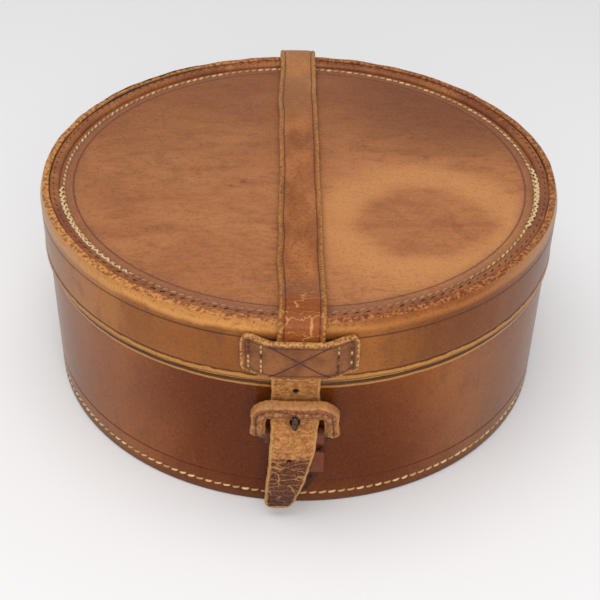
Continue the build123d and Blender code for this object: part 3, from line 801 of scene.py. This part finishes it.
def flat_band(name, line, side, outward, half, thick, edge_round=0.7, faces=41, relief=None, marks=None):
    """Band over a line on its inner face. Half its width and its thickness may vary along the line."""
    share_across, add_across, share_thick, add_thick = section(edge_round, faces)
    half = np.broadcast_to(half, len(line))[:, None]
    thick = np.broadcast_to(thick, len(line))[:, None]
    side, outward = np.broadcast_to(side, line.shape), np.broadcast_to(outward, line.shape)
    across = share_across * (half - edge_round) + add_across
    depth = share_thick * (thick - 2 * edge_round) + edge_round + add_thick
    along = lengths(line)[:, None] + 0 * across
    from_end = np.minimum(along, along[-1:] - along)
    upper = (share_thick > 0.5)[None] & (depth > thick - 0.8)
    edge = np.where(depth > thick - 0.45, np.minimum(half - np.abs(across), from_end), 0)
    if relief:
        depth = depth + relief(along, across, edge) * upper
    points = line[:, None] + across[..., None] * side[:, None] + depth[..., None] * outward[:, None]
    rows, columns = across.shape
    blocks = [grid_faces(rows, columns, wrap_columns=True), *end_faces(rows, columns)]
    kept = {"edge": edge.ravel(), "along": along.ravel(), "across": across.ravel(),
            "under": (depth < 0.5).ravel()}
    for key, make in (marks or {}).items():
        kept[key] = np.ravel(make(along, across))
    return add_mesh(name, points, blocks, kept)


def side_line(points, radii, step, swing=1.0):
    """Line in the plane of the strap, from (y, z) points, with the outward direction on its left or right."""
    path = rounded_line(points, radii, step)
    ahead, none = directions(path), 0 * path[:, 0]
    outward = np.stack([none, -swing * ahead[:, 1], swing * ahead[:, 0]], -1)
    return np.stack([none, path[:, 0], path[:, 1]], -1), outward


# %% [markdown]
# ## The strap's finish
# The strap has been bent and polished for decades. Fine cracks run across it, a crease follows each edge,
# and the edge itself has worn down to raw golden leather. The tail is suede-like where the loop and
# the buckle have rubbed it, and nearly black at its end.


# %% Strap finish
def crack_lines(flat, scale, stretch, width):
    """Thin lines where a noise passes its middle value."""
    return fade(abs(flat.cloud(scale, 5, stretch, rough=0.62, twist=0.3) - 0.5), width, 0.0)


def crack_net(flat, scale, stretch, width):
    """Net of thin lines between cells, bent by a noise so that they wander."""
    bend = flat.node("ShaderNodeTexNoise", {"Vector": flat, "Scale": scale * 1.6, "Detail": 3.0}, "Color")
    pushed = flat.node("ShaderNodeVectorMath", {0: bend, 1: (2.4, 2.4, 0), 2: flat}, operation="MULTIPLY_ADD")
    moved = flat.node("ShaderNodeMapping", {"Vector": pushed, "Scale": stretch})
    cells = flat.node("ShaderNodeTexVoronoi", {"Vector": moved, "Scale": scale}, feature="DISTANCE_TO_EDGE")
    return fade(cells, width, width * 0.25)


def raw_edge(colour, edge, fine, golden, width, crease):
    """Golden worn edge with a dark crease beside it."""
    patchy = between(fine, 0.46, 0.60, golden, (0.15, 0.050, 0.016), 0.85)
    return colour.layers((DARK_LINE, abs(edge - crease), 0.42, 0.1, 0.7),
                         (patchy, edge + (fine * 2.4 - 1.2), width, width - 0.7, 0.85))


def paint_strap(place):
    _, y, z = place.axes()
    flat = plane(place.kept("across"), place.kept("along"))
    clouds, fine = flat.cloud(0.045, 5, (1.4, 0.7, 1)), flat.cloud(1.1, 5, (0.7, 1.2, 1))
    front = fade(y, -0.070, -0.092) * fade(z, 0.074, 0.080)
    fine_cracks = crack_lines(flat, 0.55, (0.28, 1.6, 1), 0.026) * 0.25
    cracks = fine_cracks.maths("MAXIMUM", crack_net(flat, 0.36, (0.26, 1.2, 1), 0.048) * front)
    colour = between(clouds, 0.34, 0.66, (0.24, 0.068, 0.017), (0.43, 0.150, 0.042)).layers(
        ((0.12, 0.032, 0.010), fine, 0.50, 0.68, 0.6),
        ((0.25, 0.056, 0.009), front * 0.9),
        ((0.56, 0.27, 0.08), cracks * 0.75),
        ((0.40, 0.200, 0.085), y, 0.02, 0.08, 0.40))
    bend = fade(y, 0.0965, 0.0995) * fade(z, 0.079, 0.082, 0.8)
    colour = raw_edge(colour, place.kept("edge"), fine, GOLDEN, 1.3, 2.1).layers(
        (between(fine, 0.45, 0.6, (0.52, 0.260, 0.075), (0.22, 0.080, 0.026)), bend),
        (FLESH_SIDE, place.kept("under")))
    return colour, cracks * -0.16 + fine * 0.12, fine * 0.25 + (front * -0.12 - 0.08)


def paint_tail(place):
    flat = plane(place.kept("across"), place.kept("along"))
    fine = flat.cloud(1.1, 5, (1.2, 0.7, 1))
    fibre = flat.cloud(0.50, 6, (0.75, 1.3, 1), rough=0.65, twist=0.8)
    suede = between(fibre, 0.35, 0.65, (0.33, 0.120, 0.030), (0.54, 0.250, 0.078)).layers(
        ((0.23, 0.075, 0.018), fine, 0.50, 0.66, 0.6),
        ((0.15, 0.043, 0.013), crack_lines(flat, 0.42, (0.35, 1.6, 1), 0.035) * 0.7))
    cracks = crack_net(flat, 0.36, (0.36, 1.0, 1), 0.060)
    grain = between(fine, 0.4, 0.7, (0.060, 0.015, 0.007), (0.19, 0.050, 0.014))
    grain = grain.laid((0.46, 0.215, 0.060), cracks * 0.75)
    height = place.axes()[2] + (fibre * 0.012 - 0.006)
    dark = fade(height, 0.0322, 0.0290)
    uneven = fine * 1.6 + (place.kept("edge") - 0.8)
    colour = suede.laid(grain, dark).layers(
        ((0.030, 0.010, 0.006), height, 0.0165, 0.0075, 0.65),
        ((0.50, 0.245, 0.075), uneven, 1.3, 0.6, 0.85),
        # Inside the holes the leather is painted near black: painted shade in the holes.
        ((0.012, 0.007, 0.005), place.kept("hole"), 0.25, -0.15),
        (FLESH_SIDE, place.kept("under")))
    return colour, cracks * -0.14 + fine * 0.2, dark * -0.22 + fine * 0.15


strap_finish = finish("strap_leather", paint_strap, [(1400, 0.08), (500, 0.15)], 0.42, coat=0.45,
                      coat_rough=0.24, specular=0.06, speckle=0.35, coat_ior=1.3)
tail_finish = finish("tail_leather", paint_tail, [(1400, 0.10), (600, 0.25)], 0.58, sheen=0.05,
                     specular=0.15, speckle=0.35)


# %% Strap over the lid and down the back
def strap_piece():
    rest, rim, rear_inner = field + seat_gap, lip_height + seat_gap, base_radius + seat_gap
    ledge, floor_start = 89.65, 76.65
    points = [(-strap_inner, loop_low[2] + 2.8), (-strap_inner, rim + 0.2), (-ledge, rim + 0.1),
              (-floor_start, rest), (floor_start, rest), (ledge, rim), (strap_inner, rim),
              (strap_inner, seam_height - 0.9), (rear_inner, seam_height - 8), (rear_inner, rear_foot)]
    line, outward = side_line(points, [2.6, 20, 20, 20, 20, 2.4, 6, 6], 0.75)
    long = lengths(line)
    half = rounded_end(strap_half + wander(long, 41, 90, 0.10), long[-1] - long, 2.2, 0.01)
    lean = np.interp(long, [0, 18, 22, 220, 260, long[-1]], [0.7, 1.5, 1.6, -2.2, -1.6, -0.3])
    line[:, 0] += lean + wander(long, 42, 180, 0.25)
    thick = strap_leather + wander(long, 43, 60, 0.05)

    def relief(along, across, edge):
        waves = 0.10 * np.sin(along / 3.1 + 0.8 * np.sin(across / 3)) * bell(along, 24, 16)
        crease = -0.22 * bell(edge, 2.1, 0.8)
        return crease + waves + 0.10 * (1 - (across / strap_half) ** 2) + wander(along, 44, 14, 0.03)

    return flat_band("strap", line, [1.0, 0, 0], outward, half, thick, 0.8, 33, relief)


strap = dress(strap_piece(), strap_finish, "strap_leather", None, "strap_over_lid", "strap_rear")
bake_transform(strap)


# %% Tail of the strap
def tail_piece():
    points = [(-strap_inner, loop_low[2] + 5), (-strap_inner, 48.0), (-105.0, 37.45), (-105.0, 21.0),
              (-103.6, tail_foot)]
    line, outward = side_line(points, [9.0, 7.0, 12.0], 0.42, swing=-1.0)
    long, height = lengths(line), line[:, 2]
    heights = height[:, None]
    half = np.interp(height, [6.5, 19.4, 31.7, 45], [5.2, 6.7, 7.7, 8.2]) + wander(long, 51, 30, 0.12)
    half = rounded_end(half, long[-1] - long, 2.6)
    lean_at = [6.5, 13, 19.4, 25, 31.7, 38, 45]
    line[:, 0] += np.interp(height, lean_at, [-5.2, -4.0, -2.8, -1.9, -1.0, -0.4, 0.0])
    thick = strap_leather - 0.5 * step_up(height, loop_low[2], loop_low[2] + 1.5)
    holes = [(0, 56.6, 1.0), (-0.6, 29.6, 0.7), (0, 43.6, 1.7)]

    def hole_mark(along, across):
        """Distance to the rim of the nearest hole, below 0 inside it."""
        return np.min([np.hypot(across - x, heights - z) - size for x, z, size in holes], axis=0)

    def relief(along, across, edge):
        dips = -1.5 * step_up(-hole_mark(along, across), -0.25, 0.35)
        rim = 0.10 * bell(hole_mark(along, across), 0.7, 0.8)
        puff = 0.10 * (1 - (across / strap_half) ** 2)
        lumps = 0.10 * np.sin(heights / 2.1 + across / 5) * step_up(-heights, -24, -16)
        return dips + rim + puff + lumps - 0.18 * bell(edge, 1.8, 0.8)

    return flat_band("strap_end", line, [1.0, 0, 0], outward, half, thick, 0.8, 47, relief,
                     {"hole": hole_mark})


tail = dress(tail_piece(), tail_finish, "strap_leather", None, "strap_tail")
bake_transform(tail)

# %% [markdown]
# ## Loops on the lid
# Each loop is a short flat piece of leather, sewn down at both ends and bulging over the strap. A thin
# cross is tooled on its middle. The line runs in plan view: along the wall, out over the strap, and back.


# %% Loop finish
def paint_loop(place):
    flat = plane(place.kept("along"), place.kept("across"))
    clouds, fine = flat.cloud(0.12, 5), place.cloud(1000, 5)
    cross = fade(place.kept("cross"), 0.42, 0.12)
    colour = between(clouds, 0.34, 0.66, (0.15, 0.048, 0.014), (0.26, 0.092, 0.027)).layers(
        ((0.12, 0.040, 0.018), fine, 0.55, 0.75, 0.45),
        ((0.055, 0.018, 0.022), cross * 0.85))
    colour = raw_edge(colour, place.kept("edge"), fine, (0.54, 0.270, 0.078), 1.15, 1.9)
    colour = colour.laid(FLESH_SIDE, place.kept("under"))
    return colour, cross * -0.15 + fine * 0.18, fine * 0.25 - 0.1


loop_finish = finish("loop_leather", paint_loop, [(1400, 0.09), (500, 0.15)], 0.44, coat=0.35, coat_rough=0.3,
                     specular=0.12, speckle=0.25, coat_ior=1.3)


# %% Loops
def loop_line(facing):
    """Inner face of a loop in plan: along the wall, then out over the strap by its thickness and a little."""
    x = np.linspace(-loop_high[0], loop_high[0], 111)
    wall = np.sqrt(strap_inner ** 2 - x ** 2)
    over = np.sqrt((strap_outer + 0.35) ** 2 - (0.6 * x) ** 2)
    out = facing * (wall + (over - wall) * step_up(17.0 - np.abs(x), 0, 9.5))
    lean = np.radians(0.6 if facing < 0 else 1.1)
    height = 0 * x + (loop_low[2] + loop_high[2]) / 2
    cos, sin = np.cos(lean), np.sin(lean)
    line = np.stack([x * cos - out * sin, x * sin + out * cos, height], -1)
    ahead = directions(line)
    return line, np.stack([-facing * ahead[:, 1], facing * ahead[:, 0], 0 * x], -1)


def strap_loop(name, facing):
    line, outward = loop_line(facing)
    long, cross_x, cross_z = lengths(line), 9.5, 6.3
    half = (loop_high[2] - loop_low[2]) / 2 + wander(long, 61 + facing, 30, 0.10)
    half = rounded_end(half, np.minimum(long, long[-1] - long), 2.6)
    x = (long - long[-1] / 2)[:, None]
    far = np.abs(x)

    def cross_mark(along, across):
        """Distance to the nearer of the two lines of the cross."""
        apart = np.minimum(np.abs(cross_z * x - cross_x * across), np.abs(cross_z * x + cross_x * across))
        return np.where(far < cross_x, apart / np.hypot(cross_x, cross_z), 9.0) + 0 * across

    def relief(along, across, edge):
        crossing = -0.22 * bell(cross_mark(along, across), 0, 0.7)
        columns = -0.30 * (bell(far, 11.8, 1.3) + bell(far, 16.4, 1.3)) * (np.abs(across) < 5.8)
        return crossing + columns - 0.2 * bell(edge, 1.9, 0.8) + 0.12 * bell(far, 14.0, 2.6)

    return flat_band(name, line, [0, 0, 1.0], outward, half, 2.2, 0.7, 41, relief, {"cross": cross_mark})


def loop_places(facing):
    """Six stitches in each of four upright rows, on the loop's outer face."""
    line, outward = loop_line(facing)
    at = np.repeat([np.argmin(np.abs(line[:, 0] - line[55, 0] - x)) for x in (-16.2, -11.6, 11.6, 16.2)], 6)
    up = np.tile(np.linspace(-5.0, 5.0, 6), 4)
    centre = line[at] + outward[at] * 2.1 + np.stack([0 * up, 0 * up, up], -1)
    return centre, np.broadcast_to([0, 0, 1.0], (24, 3)), outward[at]


for side_name, facing in [("front", -1), ("rear", 1)]:
    piece = strap_loop(f"{side_name}_strap_loop", facing)
    dress(piece, loop_finish, "loop_leather", "lid", f"{side_name}_loop")
    sew(f"{side_name}_loop_stitches", loop_places(facing), 1.7, 0.8, 70 + facing, loop_thread_finish,
        "dark_thread", "lid", f"{side_name}_loop_stitching")

# %% [markdown]
# ## Buckle
# A flat steel bow is sewn into a cover of leather with rounded shoulders, whose cut edge shows all round.
# Its feet hold a round pivot bar. The bow and the bar are made anew, so that no steel shows through the
# cover. The model's prong stays as it is and only gets the dark steel finish.


# %% Buckle finishes
BUCKLE_LEAN, PIVOT = np.radians(14.5), np.array([0, -101.45, 36.0])


def paint_cover(place):
    z, across, fine = place.axes()[2], place.kept("across"), place.cloud(900, 5, rough=0.65)
    grain = between(fine, 0.45, 0.60, (0.30, 0.092, 0.030), (0.13, 0.034, 0.014))
    ragged = fine * 1.1 + (place.kept("layer") - 0.55)
    colour = between(place.cloud(260, 4), 0.38, 0.62, (0.27, 0.092, 0.024), (0.50, 0.225, 0.064)).layers(
        ((0.17, 0.050, 0.016), fine, 0.46, 0.60, 0.8),
        (grain, fade(z, 0.0465, 0.0495) * fade(across, 0.3, 1.0, 0.8)),
        ((0.16, 0.050, 0.026), across, -0.9, -1.8, 0.75),
        ((0.080, 0.022, 0.014), abs(ragged), 0.42, 0.10, 0.85),
        ((0.55, 0.27, 0.09), place.kept("edge"), 0.9, 0.3, 0.5))
    return colour, fine * 0.25, fine * 0.25 - 0.1


def cloudy(coarse, grain, shades, over, span, relief, shine=0.0):
    """Paint of two shades in slow clouds, with a third in the grain, which also changes the shine."""
    def paint(place):
        clouds, fine = place.cloud(coarse, 4), place.cloud(*grain)
        colour = between(clouds, 0.35, 0.65, *shades).laid(over, fine, *span, 0.5)
        return colour, fine * relief, fine * shine - shine / 3

    return paint


paint_steel = cloudy(300, (1500, 4), [(0.030, 0.024, 0.021), (0.11, 0.086, 0.072)], (0.10, 0.045, 0.022),
                     (0.55, 0.70), 0.08, 0.3)
cover_finish = finish("buckle_leather", paint_cover, [(1400, 0.15), (500, 0.40)], 0.42, coat=0.35,
                      coat_rough=0.3, specular=0.12, speckle=0.35, coat_ior=1.35)
steel_finish = finish("dark_steel", paint_steel, [(2500, 0.03)], 0.38, metallic=0.9, specular=0.5)


# %% Buckle cover
def bow_line(half_width, low, high, corner):
    """Left leg, corner, top, corner and right leg of a bow, with the same number of points for any size."""
    leg, arc, top = 22, 24, 40
    turn = np.linspace(0, np.pi / 2, arc)[1:-1]
    left = np.stack([np.full(leg, -half_width), np.linspace(low, high - corner, leg)], -1)
    bend = np.stack([-half_width + corner - corner * np.cos(turn), high - corner + corner * np.sin(turn)], -1)
    across = np.stack([np.linspace(-half_width + corner, half_width - corner, top), np.full(top, high)], -1)
    return np.concatenate([left, bend, across, np.concatenate([left, bend])[::-1] * [-1, 1]])


def leaning(x, depth, z):
    """Points drawn upright round the pivot bar, turned to the buckle's lean."""
    y = -depth + 0 * x
    cos, sin = np.cos(BUCKLE_LEAN), np.sin(BUCKLE_LEAN)
    return np.stack([x, y * cos - z * sin, y * sin + z * cos], -1) + PIVOT


def bow_band(name, outer, inner, thick, bulge, rough, edge_round, faces, relief=None, marks=None):
    """Flat bow between two lines in the buckle's plane, the same thickness all round."""
    splay = np.clip((10 - outer[:, 1]) / 9, 0, 1) * 0.5 * np.sign(outer[:, 0])
    outer, inner = outer + np.stack([splay, 0 * splay], -1), inner + np.stack([0.6 * splay, 0 * splay], -1)
    middle, reach, count = (outer + inner) / 2, outer - inner, np.arange(len(outer))
    half = np.linalg.norm(reach, axis=1) / 2 + rough * wander(count * 0.6, 82, 12, 1.0)
    half = rounded_end(half, np.minimum(count, count[::-1]) * 0.5, 1.3, 0.05)
    across, up = middle[:, 0], middle[:, 1]
    line = leaning(across, -thick / 2 + bulge * bell(across, 0, 22) * (up > 12), up)
    side = unit(leaning(outer[:, 0], 0, outer[:, 1]) - leaning(inner[:, 0], 0, inner[:, 1]))
    outward = [0, -np.cos(BUCKLE_LEAN), -np.sin(BUCKLE_LEAN)]
    return flat_band(name, line, side, outward, half, thick, edge_round, faces, relief, marks)


def cover_piece():
    def layer_mark(along, across):
        """Distance across from the wavy line between the two layers of the cover."""
        return across - 0.5 - 0.35 * np.sin(along / 7)

    def relief(along, across, edge):
        rough = wander(along + 3 * across, 81, 6, 0.14) + wander(along - 2 * across, 83, 9, 0.12)
        return rough - 0.35 * bell(layer_mark(along, across), 0, 0.8)

    outer, inner = bow_line(14.75, 1.6, 19.4, 7.0), bow_line(9.9, 1.6, 13.0, 2.2)
    return bow_band("buckle_leather_cover", outer, inner, 3.8, 0.5, 0.14, 0.8, 25, relief,
                    {"layer": layer_mark})


dress(cover_piece(), cover_finish, "loop_leather", "buckle", "buckle_cover")


# %% Steel core and pivot bar
def steel_core():
    """Flat steel bow inside the cover, whose feet hold the round pivot bar."""
    outer, inner = bow_line(13.4, 0.3, 17.6, 6.2), bow_line(11.2, 0.3, 15.0, 3.6)
    return bow_band("buckle_core", outer, inner, 1.8, 0.4, 0.0, 0.5, 9)


def pivot_bar():
    bar_radius, sides = 1.3, 24
    across = np.concatenate([[-12.6, -12.4], np.linspace(-12.1, 12.1, 9), [12.4, 12.6]])
    radius = bar_radius * np.array([0.4, 0.8, *[1.0] * 9, 0.8, 0.4])[:, None]
    turn = np.linspace(0, 2 * np.pi, sides, endpoint=False)[None, :]
    x, y, z = across[:, None] + 0 * turn, radius * np.cos(turn), radius * np.sin(turn)
    blocks = [grid_faces(len(across), sides, wrap_columns=True), *end_faces(len(across), sides)]
    return add_mesh("buckle_bar", np.stack([x, y, z], -1) + PIVOT, blocks)


for piece in (steel_core(), pivot_bar()):
    dress(piece, steel_finish, "steel", "buckle", "buckle_frame")


# %% [markdown]
# ## Chape, keeper and the rear anchor
# The chape and the keeper keep the model's own shape. A merged copy of each gets rounded edges from a
# bevel and a dark red-brown finish, and leans with the tail. Two short rows of stitches hold the chape,
# and two longer ones hold the strap at the back.


# %% Softened copies
def softened(node, name, body):
    """Merged copy of a node's mesh with bevelled edges, moved sideways below the buckle as the tail is."""
    mesh = frame["nodes"][node].data.copy()
    work = bmesh.new()
    work.from_mesh(mesh)
    bmesh.ops.remove_doubles(work, verts=work.verts, dist=1e-6)
    bmesh.ops.dissolve_limit(work, angle_limit=0.02, verts=work.verts, edges=work.edges)
    work.to_mesh(mesh)
    work.free()
    points = np.empty(3 * len(mesh.vertices))
    mesh.vertices.foreach_get("co", points)
    points = points.reshape(-1, 3)
    points[:, 0] += (0.9 * MM - 0.07 * points[:, 0]) * step_up(-points[:, 2], -34 * MM, -31 * MM)
    mesh.vertices.foreach_set("co", points.ravel())
    mesh.materials.clear()
    piece = linked(bpy.data.objects.new(name, mesh))
    bevel = piece.modifiers.new("rounded", "BEVEL")
    bevel.width, bevel.segments, bevel.limit_method, bevel.angle_limit = 0.35 * MM, 3, "ANGLE", np.radians(40)
    return dress(piece, chape_finish, "chape_leather", body, node)


def paint_chape(place):
    x, _, z = place.axes()
    fine, clouds = place.cloud(500, 5), place.cloud(90, 4)
    colour = between(clouds, 0.35, 0.65, (0.070, 0.018, 0.009), (0.155, 0.042, 0.017)).layers(
        # The sides are painted lighter red: painted edge highlights.
        ((0.14, 0.042, 0.017), fade(abs(x), 0.0088, 0.0098, 0.6) * fade(z, 0.018, 0.024)),
        ((0.06, 0.018, 0.011), fine, 0.52, 0.72, 0.4),
        # Low down the chape is painted near black: its dark leather with painted shade.
        ((0.030, 0.009, 0.005), z, 0.0215, 0.0175, 0.8))
    return colour, fine * 0.2, fine * 0.2 - 0.1


chape_finish = finish("chape_leather", paint_chape, [(1400, 0.10), (500, 0.25)], 0.45, coat=0.25,
                      coat_rough=0.3, specular=0.10, speckle=0.35, coat_ior=1.3)
softened("chape_strap", "chape", "base")
softened("keeper_loop", "keeper", "base")


# %% Stitches of the chape and the rear anchor
def column_places(x, z, depth, facing):
    """Upright stitches at given places on a flat face at the front or the rear."""
    x, z = np.asarray(x, float), np.asarray(z, float)
    count = len(x)
    centre = np.stack([x, np.full(count, facing * depth), z], -1)
    return centre, np.broadcast_to([0, 0, 1.0], (count, 3)), np.broadcast_to([0, facing * 1.0, 0], (count, 3))


chape_face = 101.7
chape_z = np.array([13.0, 16.4])
chape_x = 4.0 + (chape_z - 10.0) * 6.1 / 10.5 - 1.8
chape_places = column_places([*chape_x, *-chape_x], [*chape_z, *chape_z], chape_face, -1)
sew("chape_stitches", chape_places, 2.6, 0.9, 91, dark_thread_finish, "cream_thread", "base", "chape_stitching")
anchor_face = base_radius + seat_gap + strap_leather + seat_gap
anchor_x = np.repeat([-6.0, 6.0], 5)
anchor_z = np.tile(23.0 + 3.4 * np.arange(5), 2)
sew("rear_anchor_stitches", column_places(anchor_x, anchor_z, anchor_face, 1), 2.8, 0.95, 92,
    cream_finish, "cream_thread", "base", "rear_anchor_stitching")

# %% [markdown]
# ## What the model already shows
# Boards, linings, the neck that guides the lid, the leather of the floor and the prong are the model's own
# pieces. They only need finishes: grey-brown pulp board, a thin worn cloth, plain leather and dark steel.

# %% Finishes for the model's own pieces
paint_board = cloudy(60, (700, 5), [(0.33, 0.25, 0.17), (0.44, 0.35, 0.25)], (0.20, 0.14, 0.09),
                     (0.55, 0.72), 0.15)
paint_lining = cloudy(30, (1800, 3), [(0.19, 0.035, 0.030), (0.28, 0.065, 0.045)], (0.12, 0.025, 0.022),
                      (0.5, 0.7), 0.12)
paint_floor_leather = cloudy(30, (400, 5), [(0.16, 0.070, 0.034), (0.27, 0.125, 0.060)], (0.09, 0.040, 0.022),
                             (0.52, 0.72), 0.2)
own_finishes = {
    "board": finish("pulp_board", paint_board, [(2000, 0.04)], 0.85),
    "lining": finish("lining_cloth", paint_lining, [(5000, 0.04)], 0.9, sheen=0.3),
    "floor_leather": finish("floor_leather", paint_floor_leather, [(1200, 0.08)], 0.6),
    "steel": steel_finish,
}
slot_of = {part["node"]: part["material_slot"] for part in frame["record"]["subparts"]}
for node, made in ((n, own_finishes[slot_of[n]]) for n in frame["nodes"] if slot_of.get(n) in own_finishes):
    mesh = frame["nodes"][node].data
    mesh.materials.clear()
    mesh.materials.append(made)
    print("finish on", node)

# %% [markdown]
# ## Floor, light and camera
# The box stands on a plain pale floor under one broad soft light from above and a gentle fill from the
# front. The world is pale too, which is what the glossy walls mirror at their sides, over a grey sheen
# that is painted there.


# %% Floor
def pale_floor():
    size = 2500.0 * MM
    mesh = bpy.data.meshes.new("floor")
    corners = [(-size, -size, 0), (size, -size, 0), (size, size, 0), (-size, size, 0)]
    mesh.from_pydata(corners, [], [(0, 1, 2, 3)])
    material = bpy.data.materials.new("pale_floor")
    material.use_nodes = True
    shader = material.node_tree.nodes["Principled BSDF"]
    shader.inputs["Base Color"].default_value = (0.82, 0.815, 0.815, 1)
    shader.inputs["Roughness"].default_value = 0.7
    mesh.materials.append(material)
    linked(bpy.data.objects.new("floor", mesh))


pale_floor()


# %% Lights
def placed(side, up, back, place):
    """Matrix of a light or camera whose own axes point along side, up and back, standing at place."""
    rows = np.stack([side, up, back, place], -1)
    return Matrix([*rows.tolist(), [0, 0, 0, 1]])


def soft_light(name, place, size, power):
    """Round lamp at a place in metres, facing the origin."""
    light = bpy.data.lights.new(name, "AREA")
    light.shape, light.size, light.energy, light.color = "DISK", size, power, (1.0, 0.995, 0.985)
    lamp = linked(bpy.data.objects.new(name, light))
    place = np.array(place, float)
    away = unit(place)
    side = unit(np.cross([0, 1.0, 0.01], away))
    lamp.matrix_world = placed(side, np.cross(away, side), away, place)


soft_light("overhead", (-0.15, -0.15, 1.2), 1.2, 7.3)
soft_light("fill", (0.1, -1.2, 0.7), 1.0, 9.3)
world = bpy.data.worlds.new("pale_room")
bpy.context.scene.world = world
world.use_nodes = True
world.node_tree.nodes["Background"].inputs["Color"].default_value = (0.97, 0.98, 1.0, 1)
world.node_tree.nodes["Background"].inputs["Strength"].default_value = 0.52


# %% Camera
def photo_camera():
    """Camera in front of the box and above it, where the photograph was taken from."""
    yaw, pitch, roll = 0.0056, 0.6431, 0.0242
    ahead = np.array([np.sin(yaw) * np.cos(pitch), np.cos(yaw) * np.cos(pitch), -np.sin(pitch)])
    right = np.array([np.cos(yaw), -np.sin(yaw), 0])
    up = np.cross(right, ahead)
    right, up = np.cos(roll) * right + np.sin(roll) * up, np.cos(roll) * up - np.sin(roll) * right
    camera = linked(bpy.data.objects.new("photo_camera", bpy.data.cameras.new("photo_camera")))
    camera.data.sensor_width, camera.data.lens, camera.data.shift_y = 36.0, 70.585, 0.00167
    camera.data.clip_start = 0.01
    camera.matrix_world = placed(right, up, -ahead, np.array([-0.95, -396.90, 314.93]) * MM)
    bpy.context.scene.camera = camera


photo_camera()
bpy.context.scene.view_settings.view_transform = "Standard"
